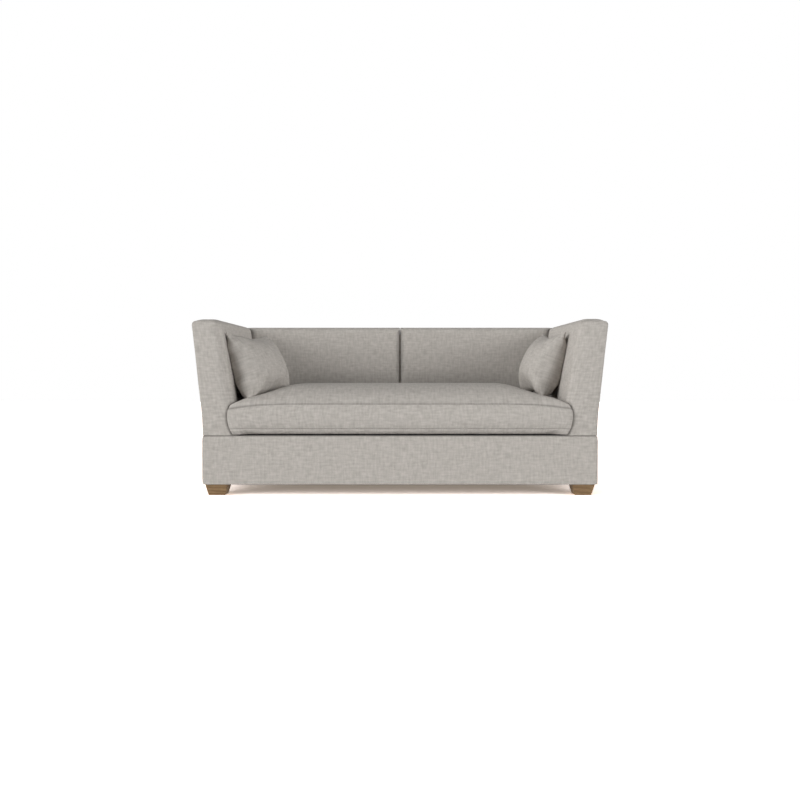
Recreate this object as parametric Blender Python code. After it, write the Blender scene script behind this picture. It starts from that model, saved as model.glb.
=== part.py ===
"""Loveseat with flared arms, a tight back in two panels, one bench cushion and two throw pillows.

Metres, +Z up, front towards -Y. The origin is on the floor, under the middle of the whole form.
The arms and the back are one upholstered tub that flares outwards above a straight base.
"""

import math

import bmesh
import bpy
from mathutils import Matrix, Vector

# Running gap between pieces that touch, and the overrun of every cut
GAP = 0.0003
OVERRUN = 0.020

# Tub: width and depth at the base, height, and how the outside flares
BASE_WIDTH = 1.742
BASE_DEPTH = 0.8546
HEIGHT = 0.7783
FLARE_SLOPE = 0.107
FLARE_START_RISE = 0.066
FLARE_BLEND = 0.050

# Arms and back: thickness at deck height, and how their inner faces lean
ARM_THICKNESS = 0.158
BACK_THICKNESS = 0.1606
ARM_INNER_SLOPE = 0.161
BACK_INNER_SLOPE = 0.161

# Upholstered edges
ARM_FRONT_ROUND = 0.040
OUTER_CORNER_ROUND = 0.009
SEAM_ROUND = 0.004
TOP_EDGE_DEPTH = 0.020
TOP_OUTER_ROUND = 0.016
TOP_INNER_ROUND = 0.024
TOP_FRONT_ROUND = 0.012
TOP_SEAM_ROUND = 0.003
TOP_CROWN = 0.006
CROWN_INSET = 0.034
CENTRE_GROOVE_ROUND = 0.016
CENTRE_GROOVE_GAP = 0.003
BACK_BULGE = 0.010
BACK_BULGE_START_RISE = 0.230

# Padding over the arm and back frames
ARM_INNER_PAD = 0.030
ARM_OUTER_PAD = 0.008
ARM_FRONT_PAD = 0.024
TOP_PAD = 0.030
BACK_INNER_PAD = 0.036
MITRE_WALL = 0.016
OUTSIDE_BACK_THICKNESS = 0.008
OUTSIDE_BACK_DROP = 0.024

# Base
FOOT_HEIGHT = 0.0500
BASE_HEIGHT = 0.216
BASE_COVER_THICKNESS = 0.014
BASE_HEM_ROUND = 0.004
BASE_SEAM_ROUND = 0.001
DUST_COVER_THICKNESS = 0.0015
RAIL_THICKNESS = 0.028
STRETCHER_WIDTH = 0.022
STRETCHER_HEIGHT = 0.110
BOARD_EDGE = 0.002

# Feet and their bolts
FOOT_TOP = 0.100
FOOT_BOTTOM = 0.074
FOOT_SIDE_INSET = 0.009
FOOT_FRONT_INSET = 0.010
FOOT_EDGE = 0.0025
BOLT_RADIUS = 0.004
BOLT_FOOT_DEPTH = 0.028
BLOCK_LEG = 0.112
BLOCK_HEIGHT = 0.045
BOLT_SIDES = 16

# Deck
DECK_PAD_THICKNESS = 0.020
DECK_PAD_EDGE = 0.003
STRAP_THICKNESS = 0.0025
STRAP_WIDTH = 0.070
STRAPS_IN_BAY = 4
STRAP_LANDING = 0.024
CROSS_STRAP_Y_SHARES = (0.36, 0.70)

# Arm and back frames
STUMP_THICKNESS = 0.028
TOP_RAIL_HEIGHT = 0.025
TACK_RAIL_HEIGHT = 0.045
TACK_RAIL_THICKNESS = 0.020
TACK_RAIL_RISE = 0.052
ARM_REAR_STUMP_INSET = 0.060
BACK_END_STUMP_INSET = 0.030

# Bench cushion
CUSHION_SIDE_GAP = 0.0005
CUSHION_BOX_HEIGHT = 0.1435
CUSHION_BOTTOM_SEAM = 0.031
CUSHION_CROWN = 0.084
CUSHION_PUFF = 0.034
CUSHION_PUFF_REACH = 0.032
CUSHION_CORNER_ROUND = 0.030
CUSHION_EDGE_ROUND = 0.018
CUSHION_SEAM_PINCH = 0.003
END_DROP = 0.0255
END_DROP_LENGTH = 0.31
END_DROP_POWER = 2.3
CROWN_END_START = 0.066
CROWN_END_RUN = 0.230
CROWN_DEPTH_POWER = 2.6
CUSHION_CELLS = (30, 16)

# Front border of the cushion, whose ends bulge over the rounded arm corners
BORDER_THICKNESS = 0.014
BORDER_BULGE = 0.004
BORDER_END_OVERLAP = 0.056
BORDER_END_LENGTH = 0.050
BORDER_END_MIDDLE_RISE = 0.095
BORDER_END_FALL = 0.086
BORDER_END_RISE = 0.045
BORDER_END_DRAW_LOW = 0.022
BORDER_END_DRAW_HIGH = 0.015
BORDER_END_TIP = 0.0015

# Throw pillows: length, height, thickness, and how far their sides draw in
PILLOW_LENGTH = 0.460
PILLOW_HEIGHT = 0.308
PILLOW_THICKNESS = 0.160
PILLOW_DRAW_SHARE = 0.085
PILLOW_ROUND_POWER = 0.50
PILLOW_SEAM = 0.0015
PILLOW_CELLS = 18
PILLOW_CLEARANCE = 0.0012
LEFT_PILLOW_SETBACK = 0.2907
LEFT_PILLOW_FROM_ARM = 0.0382
LEFT_PILLOW_RISE = 0.3105
LEFT_PILLOW_TURN = (76.9, -0.5, -20.4)
RIGHT_PILLOW_SETBACK = 0.4654
RIGHT_PILLOW_FROM_ARM = -0.0057
RIGHT_PILLOW_RISE = 0.3190
RIGHT_PILLOW_TURN = (92.5, -0.9, 19.6)

# Heights and planes worked out from the sizes above
BASE_BOTTOM_Z = FOOT_HEIGHT + GAP
BASE_TOP_Z = BASE_BOTTOM_Z + BASE_HEIGHT
DECK_Z = BASE_TOP_Z
FLARE_START_Z = DECK_Z + FLARE_START_RISE
BACK_BULGE_START_Z = DECK_Z + BACK_BULGE_START_RISE
FRAME_BOTTOM_Z = BASE_BOTTOM_Z + DUST_COVER_THICKNESS + GAP
STRAP_TOP_Z = DECK_Z - DECK_PAD_THICKNESS - GAP
LONG_RAIL_TOP_Z = STRAP_TOP_Z - STRAP_THICKNESS - GAP
SIDE_RAIL_TOP_Z = LONG_RAIL_TOP_Z - STRAP_THICKNESS - GAP
TUB_BOTTOM_Z = DECK_Z + GAP
EDGE_Z = HEIGHT - TOP_CROWN
CAVITY_TOP_Z = EDGE_Z - TOP_PAD
STUMP_TOP_Z = CAVITY_TOP_Z - GAP - TOP_RAIL_HEIGHT - GAP


def flare(z):
    """Sideways run of the outside faces at height z: straight, a short bend, then a steady lean."""
    rise = z - FLARE_START_Z
    if rise <= -FLARE_BLEND:
        return 0.0
    if rise >= FLARE_BLEND:
        return FLARE_SLOPE * rise
    return FLARE_SLOPE * (rise + FLARE_BLEND) ** 2 / (4.0 * FLARE_BLEND)


# Heights that follow the bend of the flare
FLARE_BEND_SHARES = (-1.0, -0.5, 0.0, 0.5, 1.0)
FLARE_STOPS = tuple(FLARE_START_Z + FLARE_BLEND * share for share in FLARE_BEND_SHARES)

# The widest level of the tub is where its top edge starts to round over
WIDEST_Z = EDGE_Z - TOP_EDGE_DEPTH
TOTAL_DEPTH = BORDER_THICKNESS + BORDER_BULGE + GAP + BASE_DEPTH + flare(WIDEST_Z)
FRONT_Y = BORDER_THICKNESS + BORDER_BULGE + GAP - TOTAL_DEPTH / 2.0
REAR_Y = FRONT_Y + BASE_DEPTH
HALF_WIDTH = BASE_WIDTH / 2.0
SEAT_HALF_WIDTH = HALF_WIDTH - ARM_THICKNESS
SEAT_DEPTH = BASE_DEPTH - BACK_THICKNESS
BORDER_END_REACH = SEAT_HALF_WIDTH + BORDER_END_OVERLAP
BORDER_END_MIDDLE_Z = DECK_Z + BORDER_END_MIDDLE_RISE
COVER_INNER_X = HALF_WIDTH - BASE_COVER_THICKNESS - GAP
COVER_FRONT_Y = FRONT_Y + BASE_COVER_THICKNESS + GAP
COVER_REAR_Y = REAR_Y - BASE_COVER_THICKNESS - GAP


def outer_x(z):
    return HALF_WIDTH + flare(z)


def outer_y(z):
    return REAR_Y + flare(z)


def inner_x(z):
    return SEAT_HALF_WIDTH + ARM_INNER_SLOPE * (z - DECK_Z)


def inner_y(z):
    return FRONT_Y + SEAT_DEPTH + BACK_INNER_SLOPE * (z - DECK_Z)


def mitre_line(z, offset):
    """Point and direction of the seam between arm and back in plan; offset moves it to the arm side."""
    start = Vector((inner_x(z), inner_y(z)))
    along = (Vector((outer_x(z), outer_y(z))) - start).normalized()
    across = Vector((along.y, -along.x))
    return start + across * offset, along


def mitre_at_x(z, offset, x):
    point, along = mitre_line(z, offset)
    return Vector((x, point.y + (x - point.x) * along.y / along.x))


def mitre_at_y(z, offset, y):
    point, along = mitre_line(z, offset)
    return Vector((point.x + (y - point.y) * along.x / along.y, y))


def clear_scene():
    for obj in list(bpy.data.objects):
        bpy.data.objects.remove(obj, do_unlink=True)


def make_material(name, color, roughness, metallic=0.0):
    material = bpy.data.materials.new(name)
    material.use_nodes = True
    shader = material.node_tree.nodes["Principled BSDF"]
    shader.inputs["Base Color"].default_value = (*color, 1.0)
    shader.inputs["Roughness"].default_value = roughness
    shader.inputs["Metallic"].default_value = metallic
    return material


def face_outwards(bm):
    bm.normal_update()
    bmesh.ops.recalc_face_normals(bm, faces=bm.faces)
    if bm.calc_volume(signed=True) < 0.0:
        bmesh.ops.reverse_faces(bm, faces=bm.faces)


def finish_object(name, bm, material, place=(0.0, 0.0, 0.0), parent=None):
    """Turns a bmesh into a named, shaded and placed object."""
    mesh = bpy.data.meshes.new(name)
    bm.to_mesh(mesh)
    bm.free()
    mesh.materials.append(material)
    mesh.shade_smooth()
    mesh.set_sharp_from_angle(angle=math.radians(38.0))
    obj = bpy.data.objects.new(name, mesh)
    bpy.context.scene.collection.objects.link(obj)
    obj.location = Vector(place)
    if parent is not None:
        obj.parent = parent
        obj.location = Vector(place) - parent.location
    return obj


def make_empty(name, place, parent=None):
    empty = bpy.data.objects.new(name, None)
    bpy.context.scene.collection.objects.link(empty)
    empty.location = Vector(place)
    if parent is not None:
        empty.parent = parent
        empty.location = Vector(place) - parent.location
    return empty


def hide_cutter(cutter):
    cutter.hide_render = True
    cutter.display_type = "WIRE"


def cut(obj, cutter):
    """Boolean difference that stays on the object as a modifier."""
    modifier = obj.modifiers.new("cut_" + cutter.name, "BOOLEAN")
    modifier.operation = "DIFFERENCE"
    modifier.solver = "EXACT"
    modifier.object = cutter
    hide_cutter(cutter)


def loft(name, rings, material, parent=None):
    """Closed skin over rings with the same number of points, capped at both ends."""
    bm = bmesh.new()
    loops = [[bm.verts.new(point) for point in ring] for ring in rings]
    for lower, upper in zip(loops, loops[1:]):
        for index in range(len(lower)):
            after = (index + 1) % len(lower)
            bm.faces.new((lower[index], lower[after], upper[after], upper[index]))
    bm.faces.new(tuple(reversed(loops[0])))
    bm.faces.new(tuple(loops[-1]))
    face_outwards(bm)
    return finish_object(name, bm, material, parent=parent)


def board(name, low, high, material, edge=BOARD_EDGE, parent=None):
    """Box between two corners with eased edges; its origin is its middle."""
    low, high = Vector(low), Vector(high)
    bm = bmesh.new()
    bmesh.ops.create_cube(bm, size=1.0)
    bmesh.ops.scale(bm, vec=high - low, verts=bm.verts)
    if edge > 0.0:
        bmesh.ops.bevel(bm, geom=bm.edges, offset=edge, offset_type="OFFSET", affect="EDGES",
                        segments=1, profile=0.5, material=-1)
    return finish_object(name, bm, material, (low + high) / 2.0, parent)


def profile_board(name, outline, axis, start, end, material):
    """Board sawn to an outline of (across, z) points and as thick as start to end along x or y."""
    if axis == "y":
        rings = [[Vector((across, depth, z)) for across, z in outline] for depth in (start, end)]
    else:
        rings = [[Vector((depth, across, z)) for across, z in outline] for depth in (start, end)]
    return loft(name, rings, material)


def rounded_corner(before, corner, after, radius, steps):
    """Arc of steps + 1 points that replaces a corner of a plan outline."""
    towards_before = (before - corner).normalized()
    towards_after = (after - corner).normalized()
    half_angle = towards_before.angle(towards_after) / 2.0
    centre = corner + (towards_before + towards_after).normalized() * (radius / math.sin(half_angle))
    first = corner + towards_before * (radius / math.tan(half_angle)) - centre
    last = corner + towards_after * (radius / math.tan(half_angle)) - centre
    sweep = math.pi - 2.0 * half_angle
    points = []
    for step in range(steps + 1):
        share = step / steps
        near = math.sin((1.0 - share) * sweep) / math.sin(sweep)
        far = math.sin(share * sweep) / math.sin(sweep)
        points.append(centre + first * near + last * far)
    return points


def plan_ring(corners, rounds, z, mirror=1.0):
    """Level outline at height z; rounds gives each corner's radius and its number of steps."""
    ring = []
    for index, (radius, steps) in enumerate(rounds):
        before = corners[index - 1]
        after = corners[(index + 1) % len(corners)]
        ring.extend(rounded_corner(before, corners[index], after, radius, steps))
    return [Vector((point.x * mirror, point.y, z)) for point in ring]


TOP_EDGE_SHARES = (0.0, 0.36, 0.66, 0.88, 1.0)
CROWN_SHARES = ((0.35, 0.45), (1.0, 1.0))


def tub_levels():
    """Heights of the tub's skin with, for each, how far its top edge has rounded and crowned."""
    levels = [(z, 0.0, 0.0) for z in (TUB_BOTTOM_Z, *FLARE_STOPS)]
    for share in TOP_EDGE_SHARES:
        levels.append((WIDEST_Z + TOP_EDGE_DEPTH * share, 1.0 - math.sqrt(1.0 - share * share), 0.0))
    for inset_share, rise_share in CROWN_SHARES:
        levels.append((EDGE_Z + TOP_CROWN * rise_share, 1.0, inset_share))
    return levels


def arm_ring(z, outer, inner, front, mitre, rounds, mirror):
    """Level outline of an arm, moved in from the tub's faces by the four given insets."""
    out_x = outer_x(z) - outer
    in_x = inner_x(z) + inner
    front_y = FRONT_Y + front
    corners = (Vector((out_x, front_y)), Vector((in_x, front_y)),
               mitre_at_x(z, mitre, in_x), mitre_at_x(z, mitre, out_x))
    return plan_ring(corners, rounds, z, mirror)


def frame_edge(low, high, face, skin, base_limit):
    """Outside edge of a sawn frame board: it follows the flare, with a shoulder over the base panel."""
    edge = []
    if low < TUB_BOTTOM_Z:
        edge = [(base_limit - GAP, low), (base_limit - GAP, TUB_BOTTOM_Z)]
        low = TUB_BOTTOM_Z
    stops = [z for z in FLARE_STOPS if low < z < high]
    edge.extend((face(z) - skin - GAP, z) for z in (low, *stops, high))
    return edge


def pad_edge(low, high, face, pad):
    """Inside edge of a sawn frame board: it follows the padding, and is upright below deck height."""
    edge = [(face(z) + pad + GAP, z) for z in (high, max(low, TUB_BOTTOM_Z))]
    if low < TUB_BOTTOM_Z:
        edge.append((edge[-1][0], low))
    return edge


def make_arm(side, mirror, linen, wood):
    """Padded arm over its sawn frame: two stumps, a top rail and a tack rail."""
    rounds = ((OUTER_CORNER_ROUND, 4), (ARM_FRONT_ROUND, 8), (SEAM_ROUND, 2), (SEAM_ROUND, 2))
    rings = []
    for z, rounding, crown in tub_levels():
        flat = min(z, EDGE_Z)
        inset = crown * CROWN_INSET
        ring = arm_ring(flat, rounding * TOP_OUTER_ROUND + inset, rounding * TOP_INNER_ROUND + inset,
                        rounding * TOP_FRONT_ROUND + inset,
                        GAP / 2.0 + rounding * TOP_SEAM_ROUND, rounds, mirror)
        rings.append([Vector((point.x, point.y, z)) for point in ring])
    arm = loft("arm_cover_" + side, rings, linen)

    hollow_rounds = ((SEAM_ROUND, 1),) * 4
    heights = (TUB_BOTTOM_Z - OVERRUN, *FLARE_STOPS, CAVITY_TOP_Z)
    hollow = loft("arm_hollow_" + side,
                  [arm_ring(z, ARM_OUTER_PAD, ARM_INNER_PAD, ARM_FRONT_PAD, MITRE_WALL, hollow_rounds, mirror)
                   for z in heights], wood)
    cut(arm, hollow)

    def outline(low, high):
        outside = frame_edge(low, high, outer_x, ARM_OUTER_PAD, COVER_INNER_X)
        inside = pad_edge(low, high, inner_x, ARM_INNER_PAD)
        return [(x * mirror, z) for x, z in outside + inside]

    front = FRONT_Y + ARM_FRONT_PAD + SEAM_ROUND
    rear = mitre_at_x(TUB_BOTTOM_Z, MITRE_WALL + GAP, inner_x(TUB_BOTTOM_Z) + ARM_INNER_PAD).y
    rear -= SEAM_ROUND
    stump_bottom = SIDE_RAIL_TOP_Z + GAP
    rear_stump = rear - ARM_REAR_STUMP_INSET
    profile_board("arm_front_stump_" + side, outline(stump_bottom, STUMP_TOP_Z), "y",
                  COVER_FRONT_Y + RAIL_THICKNESS + GAP, COVER_FRONT_Y + RAIL_THICKNESS + GAP + STUMP_THICKNESS,
                  wood)
    profile_board("arm_rear_stump_" + side, outline(stump_bottom, STUMP_TOP_Z), "y",
                  rear_stump - STUMP_THICKNESS, rear_stump, wood)
    profile_board("arm_top_rail_" + side, outline(STUMP_TOP_Z + GAP, CAVITY_TOP_Z - GAP), "y",
                  front, rear, wood)
    tack_low = TUB_BOTTOM_Z + TACK_RAIL_RISE
    tack_high = tack_low + TACK_RAIL_HEIGHT
    tack = [(inner_x(tack_low) + ARM_INNER_PAD + GAP, tack_low),
            (inner_x(tack_low) + ARM_INNER_PAD + TACK_RAIL_THICKNESS, tack_low),
            (inner_x(tack_high) + ARM_INNER_PAD + TACK_RAIL_THICKNESS, tack_high),
            (inner_x(tack_high) + ARM_INNER_PAD + GAP, tack_high)]
    profile_board("arm_tack_rail_" + side, [(x * mirror, z) for x, z in tack], "y",
                  COVER_FRONT_Y + RAIL_THICKNESS + STUMP_THICKNESS + 2.0 * GAP,
                  rear_stump - STUMP_THICKNESS - GAP, wood)


BACK_FACE_CELLS = 12


def back_bulge(z):
    """How far the tight back swells forward at height z."""
    share = (z - BACK_BULGE_START_Z) / (WIDEST_Z - BACK_BULGE_START_Z)
    if share <= 0.0 or share >= 1.0:
        return 0.0
    return BACK_BULGE * math.sin(math.pi * share)


def make_back(linen, wood):
    """Two padded panels that meet in a deep groove, the outside panel behind them, and the frame."""
    rounds = ((CENTRE_GROOVE_ROUND, 6), (SEAM_ROUND, 2), (SEAM_ROUND, 2), (SEAM_ROUND, 1))
    panel_top = EDGE_Z - OUTSIDE_BACK_DROP
    levels = [level for level in tub_levels() if level[0] <= FLARE_STOPS[-1]]
    upper = [level for level in tub_levels() if level[0] > FLARE_STOPS[-1]]
    swell = [(BACK_BULGE_START_Z + (WIDEST_Z - BACK_BULGE_START_Z) * share, 0.0, 0.0)
             for share in (0.0, 0.12, 0.3, 0.5, 0.7, 0.88)]
    covered = OUTSIDE_BACK_THICKNESS + GAP
    stations = [(z, rounding, crown, covered) for z, rounding, crown in levels + swell]
    stations.append((panel_top, 0.0, 0.0, covered))
    stations.append((panel_top + GAP, 0.0, 0.0, 0.0))
    stations.extend((z, rounding, crown, 0.0) for z, rounding, crown in upper)
    stations.sort(key=lambda station: station[0])

    for side, mirror in (("left", -1.0), ("right", 1.0)):
        rings = []
        for z, rounding, crown, panel in stations:
            flat = min(z, EDGE_Z)
            inset = crown * CROWN_INSET
            near_y = inner_y(flat) + rounding * TOP_INNER_ROUND + inset
            far_y = outer_y(flat) - panel - rounding * TOP_OUTER_ROUND - inset
            centre_x = CENTRE_GROOVE_GAP / 2.0 + rounding * TOP_SEAM_ROUND
            mitre = -GAP / 2.0 - rounding * TOP_SEAM_ROUND
            corners = (Vector((centre_x, near_y)), mitre_at_y(flat, mitre, near_y),
                       mitre_at_y(flat, mitre, far_y), Vector((centre_x, far_y)))
            ring = plan_ring(corners, rounds, z, mirror)
            start, end = ring[rounds[0][1]], ring[rounds[0][1] + 1]
            face = []
            for cell in range(1, BACK_FACE_CELLS):
                share = cell / BACK_FACE_CELLS
                point = start.lerp(end, share)
                point.y -= back_bulge(z) * (1.0 - (2.0 * share - 1.0) ** 4)
                face.append(point)
            cutoff = rounds[0][1] + 1
            rings.append(ring[:cutoff] + face + ring[cutoff:])
        pad = loft("back_pad_" + side, rings, linen)
        pad_hollow(pad, side, mirror, wood)

    panel_rounds = ((SEAM_ROUND / 2.0, 2),) * 4
    panel_rings = []
    for z in (TUB_BOTTOM_Z, *FLARE_STOPS, panel_top - GAP):
        near_y = outer_y(z) - OUTSIDE_BACK_THICKNESS
        far_y = outer_y(z)
        left_near, left_far = mitre_at_y(z, -GAP, near_y), mitre_at_y(z, -GAP, far_y)
        corners = (left_near, left_far, Vector((-left_far.x, far_y)), Vector((-left_near.x, near_y)))
        panel_rings.append(plan_ring(corners, panel_rounds, z))
    loft("outside_back_cover", panel_rings, linen)
    make_back_frame(wood)


def pad_hollow(pad, side, mirror, wood):
    """Space for the back frame, open below, behind and towards the middle."""
    rings = []
    for z in (TUB_BOTTOM_Z - OVERRUN, *FLARE_STOPS, CAVITY_TOP_Z):
        near_y = inner_y(z) + BACK_INNER_PAD
        far_y = outer_y(z) + OVERRUN
        wall = -MITRE_WALL
        corners = (Vector((-OVERRUN, near_y)), mitre_at_y(z, wall, near_y),
                   mitre_at_y(z, wall, outer_y(z) - OUTSIDE_BACK_THICKNESS),
                   Vector((mitre_at_y(z, wall, outer_y(z) - OUTSIDE_BACK_THICKNESS).x, far_y)),
                   Vector((-OVERRUN, far_y)))
        rings.append([Vector((point.x * mirror, point.y, z)) for point in corners])
    cut(pad, loft("back_hollow_" + side, rings, wood))


def back_frame_reach():
    """Half length of the space for the back frame, at the foot of its padding."""
    return mitre_at_y(TUB_BOTTOM_Z, -MITRE_WALL, inner_y(TUB_BOTTOM_Z) + BACK_INNER_PAD).x - GAP


def make_back_frame(wood):
    """Three sawn back stumps, a top rail over them and a tack rail in each bay."""
    def outline(low, high):
        outside = frame_edge(low, high, outer_y, OUTSIDE_BACK_THICKNESS, COVER_REAR_Y)
        return outside + pad_edge(low, high, inner_y, BACK_INNER_PAD)

    reach = back_frame_reach()
    end_x = reach - BACK_END_STUMP_INSET
    half = STUMP_THICKNESS / 2.0
    stump_low = LONG_RAIL_TOP_Z + GAP
    for side, x in (("left", -end_x), ("middle", 0.0), ("right", end_x)):
        profile_board("back_stump_" + side, outline(stump_low, STUMP_TOP_Z), "x", x - half, x + half, wood)
    profile_board("back_top_rail", outline(STUMP_TOP_Z + GAP, CAVITY_TOP_Z - GAP), "x", -reach, reach, wood)
    low = TUB_BOTTOM_Z + TACK_RAIL_RISE
    high = low + TACK_RAIL_HEIGHT
    tack = [(inner_y(low) + BACK_INNER_PAD + GAP, low),
            (inner_y(low) + BACK_INNER_PAD + TACK_RAIL_THICKNESS, low),
            (inner_y(high) + BACK_INNER_PAD + TACK_RAIL_THICKNESS, high),
            (inner_y(high) + BACK_INNER_PAD + GAP, high)]
    profile_board("back_tack_rail_left", tack, "x", -end_x + half + GAP, -half - GAP, wood)
    profile_board("back_tack_rail_right", tack, "x", half + GAP, end_x - half - GAP, wood)


HEM_LEVEL_SHARES = ((0.0, 1.0), (0.3, 0.3), (1.0, 0.0))


def base_cover(name, corners, moves, rounds, material):
    """Padded base panel; its show faces draw in at the turned hem below and the eased edge above."""
    levels = [(BASE_BOTTOM_Z + BASE_HEM_ROUND * rise, BASE_HEM_ROUND * drawn)
              for rise, drawn in HEM_LEVEL_SHARES]
    levels.append((BASE_TOP_Z - BASE_HEM_ROUND / 2.0, 0.0))
    levels.append((BASE_TOP_Z, BASE_HEM_ROUND / 2.0))
    rings = []
    for z, inset in levels:
        moved = [Vector(corner) + Vector(move) * inset for corner, move in zip(corners, moves)]
        eased = [(radius - inset if radius > BASE_HEM_ROUND else radius, steps) for radius, steps in rounds]
        rings.append(plan_ring(moved, eased, z))
    return loft(name, rings, material)


def make_base(linen, cloth, wood):
    """Upholstered base panels over a rail box with a stretcher and a black cloth below."""
    outer = (OUTER_CORNER_ROUND, 4)
    seam = (BASE_SEAM_ROUND, 1)
    base_cover("base_front_cover", ((-HALF_WIDTH, FRONT_Y), (HALF_WIDTH, FRONT_Y),
                                    (HALF_WIDTH, COVER_FRONT_Y - GAP), (-HALF_WIDTH, COVER_FRONT_Y - GAP)),
               ((1, 1), (-1, 1), (-1, 0), (1, 0)), (outer, outer, seam, seam), linen)
    base_cover("base_rear_cover", ((-HALF_WIDTH, COVER_REAR_Y + GAP), (HALF_WIDTH, COVER_REAR_Y + GAP),
                                   (HALF_WIDTH, REAR_Y), (-HALF_WIDTH, REAR_Y)),
               ((1, 0), (-1, 0), (-1, -1), (1, -1)), (seam, seam, outer, outer), linen)
    for side, mirror in (("left", -1.0), ("right", 1.0)):
        inside, outside = mirror * (COVER_INNER_X + GAP), mirror * HALF_WIDTH
        base_cover("base_side_cover_" + side, ((inside, COVER_FRONT_Y), (outside, COVER_FRONT_Y),
                                               (outside, COVER_REAR_Y), (inside, COVER_REAR_Y)),
                   ((0, 0), (-mirror, 0), (-mirror, 0), (0, 0)), (seam, seam, seam, seam), linen)

    rail_front = COVER_FRONT_Y + RAIL_THICKNESS
    rail_rear = COVER_REAR_Y - RAIL_THICKNESS
    board("front_rail", (-COVER_INNER_X, COVER_FRONT_Y, FRAME_BOTTOM_Z),
          (COVER_INNER_X, rail_front, LONG_RAIL_TOP_Z), wood)
    board("rear_rail", (-COVER_INNER_X, rail_rear, FRAME_BOTTOM_Z),
          (COVER_INNER_X, COVER_REAR_Y, LONG_RAIL_TOP_Z), wood)
    for side, mirror in (("left", -1.0), ("right", 1.0)):
        near, far = sorted((mirror * (COVER_INNER_X - RAIL_THICKNESS), mirror * COVER_INNER_X))
        board("side_rail_" + side, (near, rail_front + GAP, FRAME_BOTTOM_Z),
              (far, rail_rear - GAP, SIDE_RAIL_TOP_Z), wood)
    board("centre_stretcher", (-STRETCHER_WIDTH / 2.0, rail_front + GAP, FRAME_BOTTOM_Z),
          (STRETCHER_WIDTH / 2.0, rail_rear - GAP, FRAME_BOTTOM_Z + STRETCHER_HEIGHT), wood)
    return board("dust_cover", (-COVER_INNER_X, COVER_FRONT_Y, BASE_BOTTOM_Z),
                 (COVER_INNER_X, COVER_REAR_Y, BASE_BOTTOM_Z + DUST_COVER_THICKNESS), cloth, edge=0.0)


def rod(name, radius, low, high, place, material):
    """Upright round rod between two heights, with its origin on its axis."""
    bm = bmesh.new()
    bmesh.ops.create_cone(bm, cap_ends=True, segments=BOLT_SIDES, radius1=radius, radius2=radius,
                          depth=high - low)
    return finish_object(name, bm, material, (place[0], place[1], (low + high) / 2.0))


def make_foot(name, x, y, dust_cover, oak, wood, steel):
    """Tapered oak block foot, its bolt, and the corner block that the bolt goes up into."""
    bm = bmesh.new()
    bmesh.ops.create_cube(bm, size=1.0)
    for vert in bm.verts:
        width = FOOT_TOP if vert.co.z > 0.0 else FOOT_BOTTOM
        vert.co = Vector((vert.co.x * width, vert.co.y * width, vert.co.z * FOOT_HEIGHT))
    bmesh.ops.bevel(bm, geom=bm.edges, offset=FOOT_EDGE, offset_type="OFFSET", affect="EDGES",
                    segments=2, profile=0.5, material=-1)
    foot = finish_object("foot_" + name, bm, oak, (x, y, FOOT_HEIGHT / 2.0))

    side = math.copysign(1.0, x)
    end = math.copysign(1.0, y)
    corner_x = side * (COVER_INNER_X - RAIL_THICKNESS - GAP)
    corner_y = COVER_FRONT_Y + RAIL_THICKNESS + GAP if end < 0.0 else COVER_REAR_Y - RAIL_THICKNESS - GAP
    triangle = ((corner_x, corner_y), (corner_x - side * BLOCK_LEG, corner_y),
                (corner_x, corner_y - end * BLOCK_LEG))
    rings = [[Vector((px, py, z)) for px, py in triangle]
             for z in (FRAME_BOTTOM_Z, FRAME_BOTTOM_Z + BLOCK_HEIGHT)]
    block = loft("corner_block_" + name, rings, wood)

    bolt_low = FOOT_HEIGHT - BOLT_FOOT_DEPTH
    bolt_high = FRAME_BOTTOM_Z + BLOCK_HEIGHT
    hole = rod("bolt_hole_" + name, BOLT_RADIUS + GAP, bolt_low - GAP, bolt_high + OVERRUN, (x, y), steel)
    for piece in (foot, block, dust_cover):
        cut(piece, hole)
    rod("foot_bolt_" + name, BOLT_RADIUS, bolt_low, bolt_high, (x, y), steel)


def make_feet(dust_cover, oak, wood, steel):
    reach_x = HALF_WIDTH - FOOT_SIDE_INSET - FOOT_TOP / 2.0
    front = FRONT_Y + FOOT_FRONT_INSET + FOOT_TOP / 2.0
    rear = REAR_Y - FOOT_FRONT_INSET - FOOT_TOP / 2.0
    for end, y in (("front", front), ("rear", rear)):
        for side, mirror in (("left", -1.0), ("right", 1.0)):
            make_foot(end + "_" + side, mirror * reach_x, y, dust_cover, oak, wood, steel)


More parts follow.
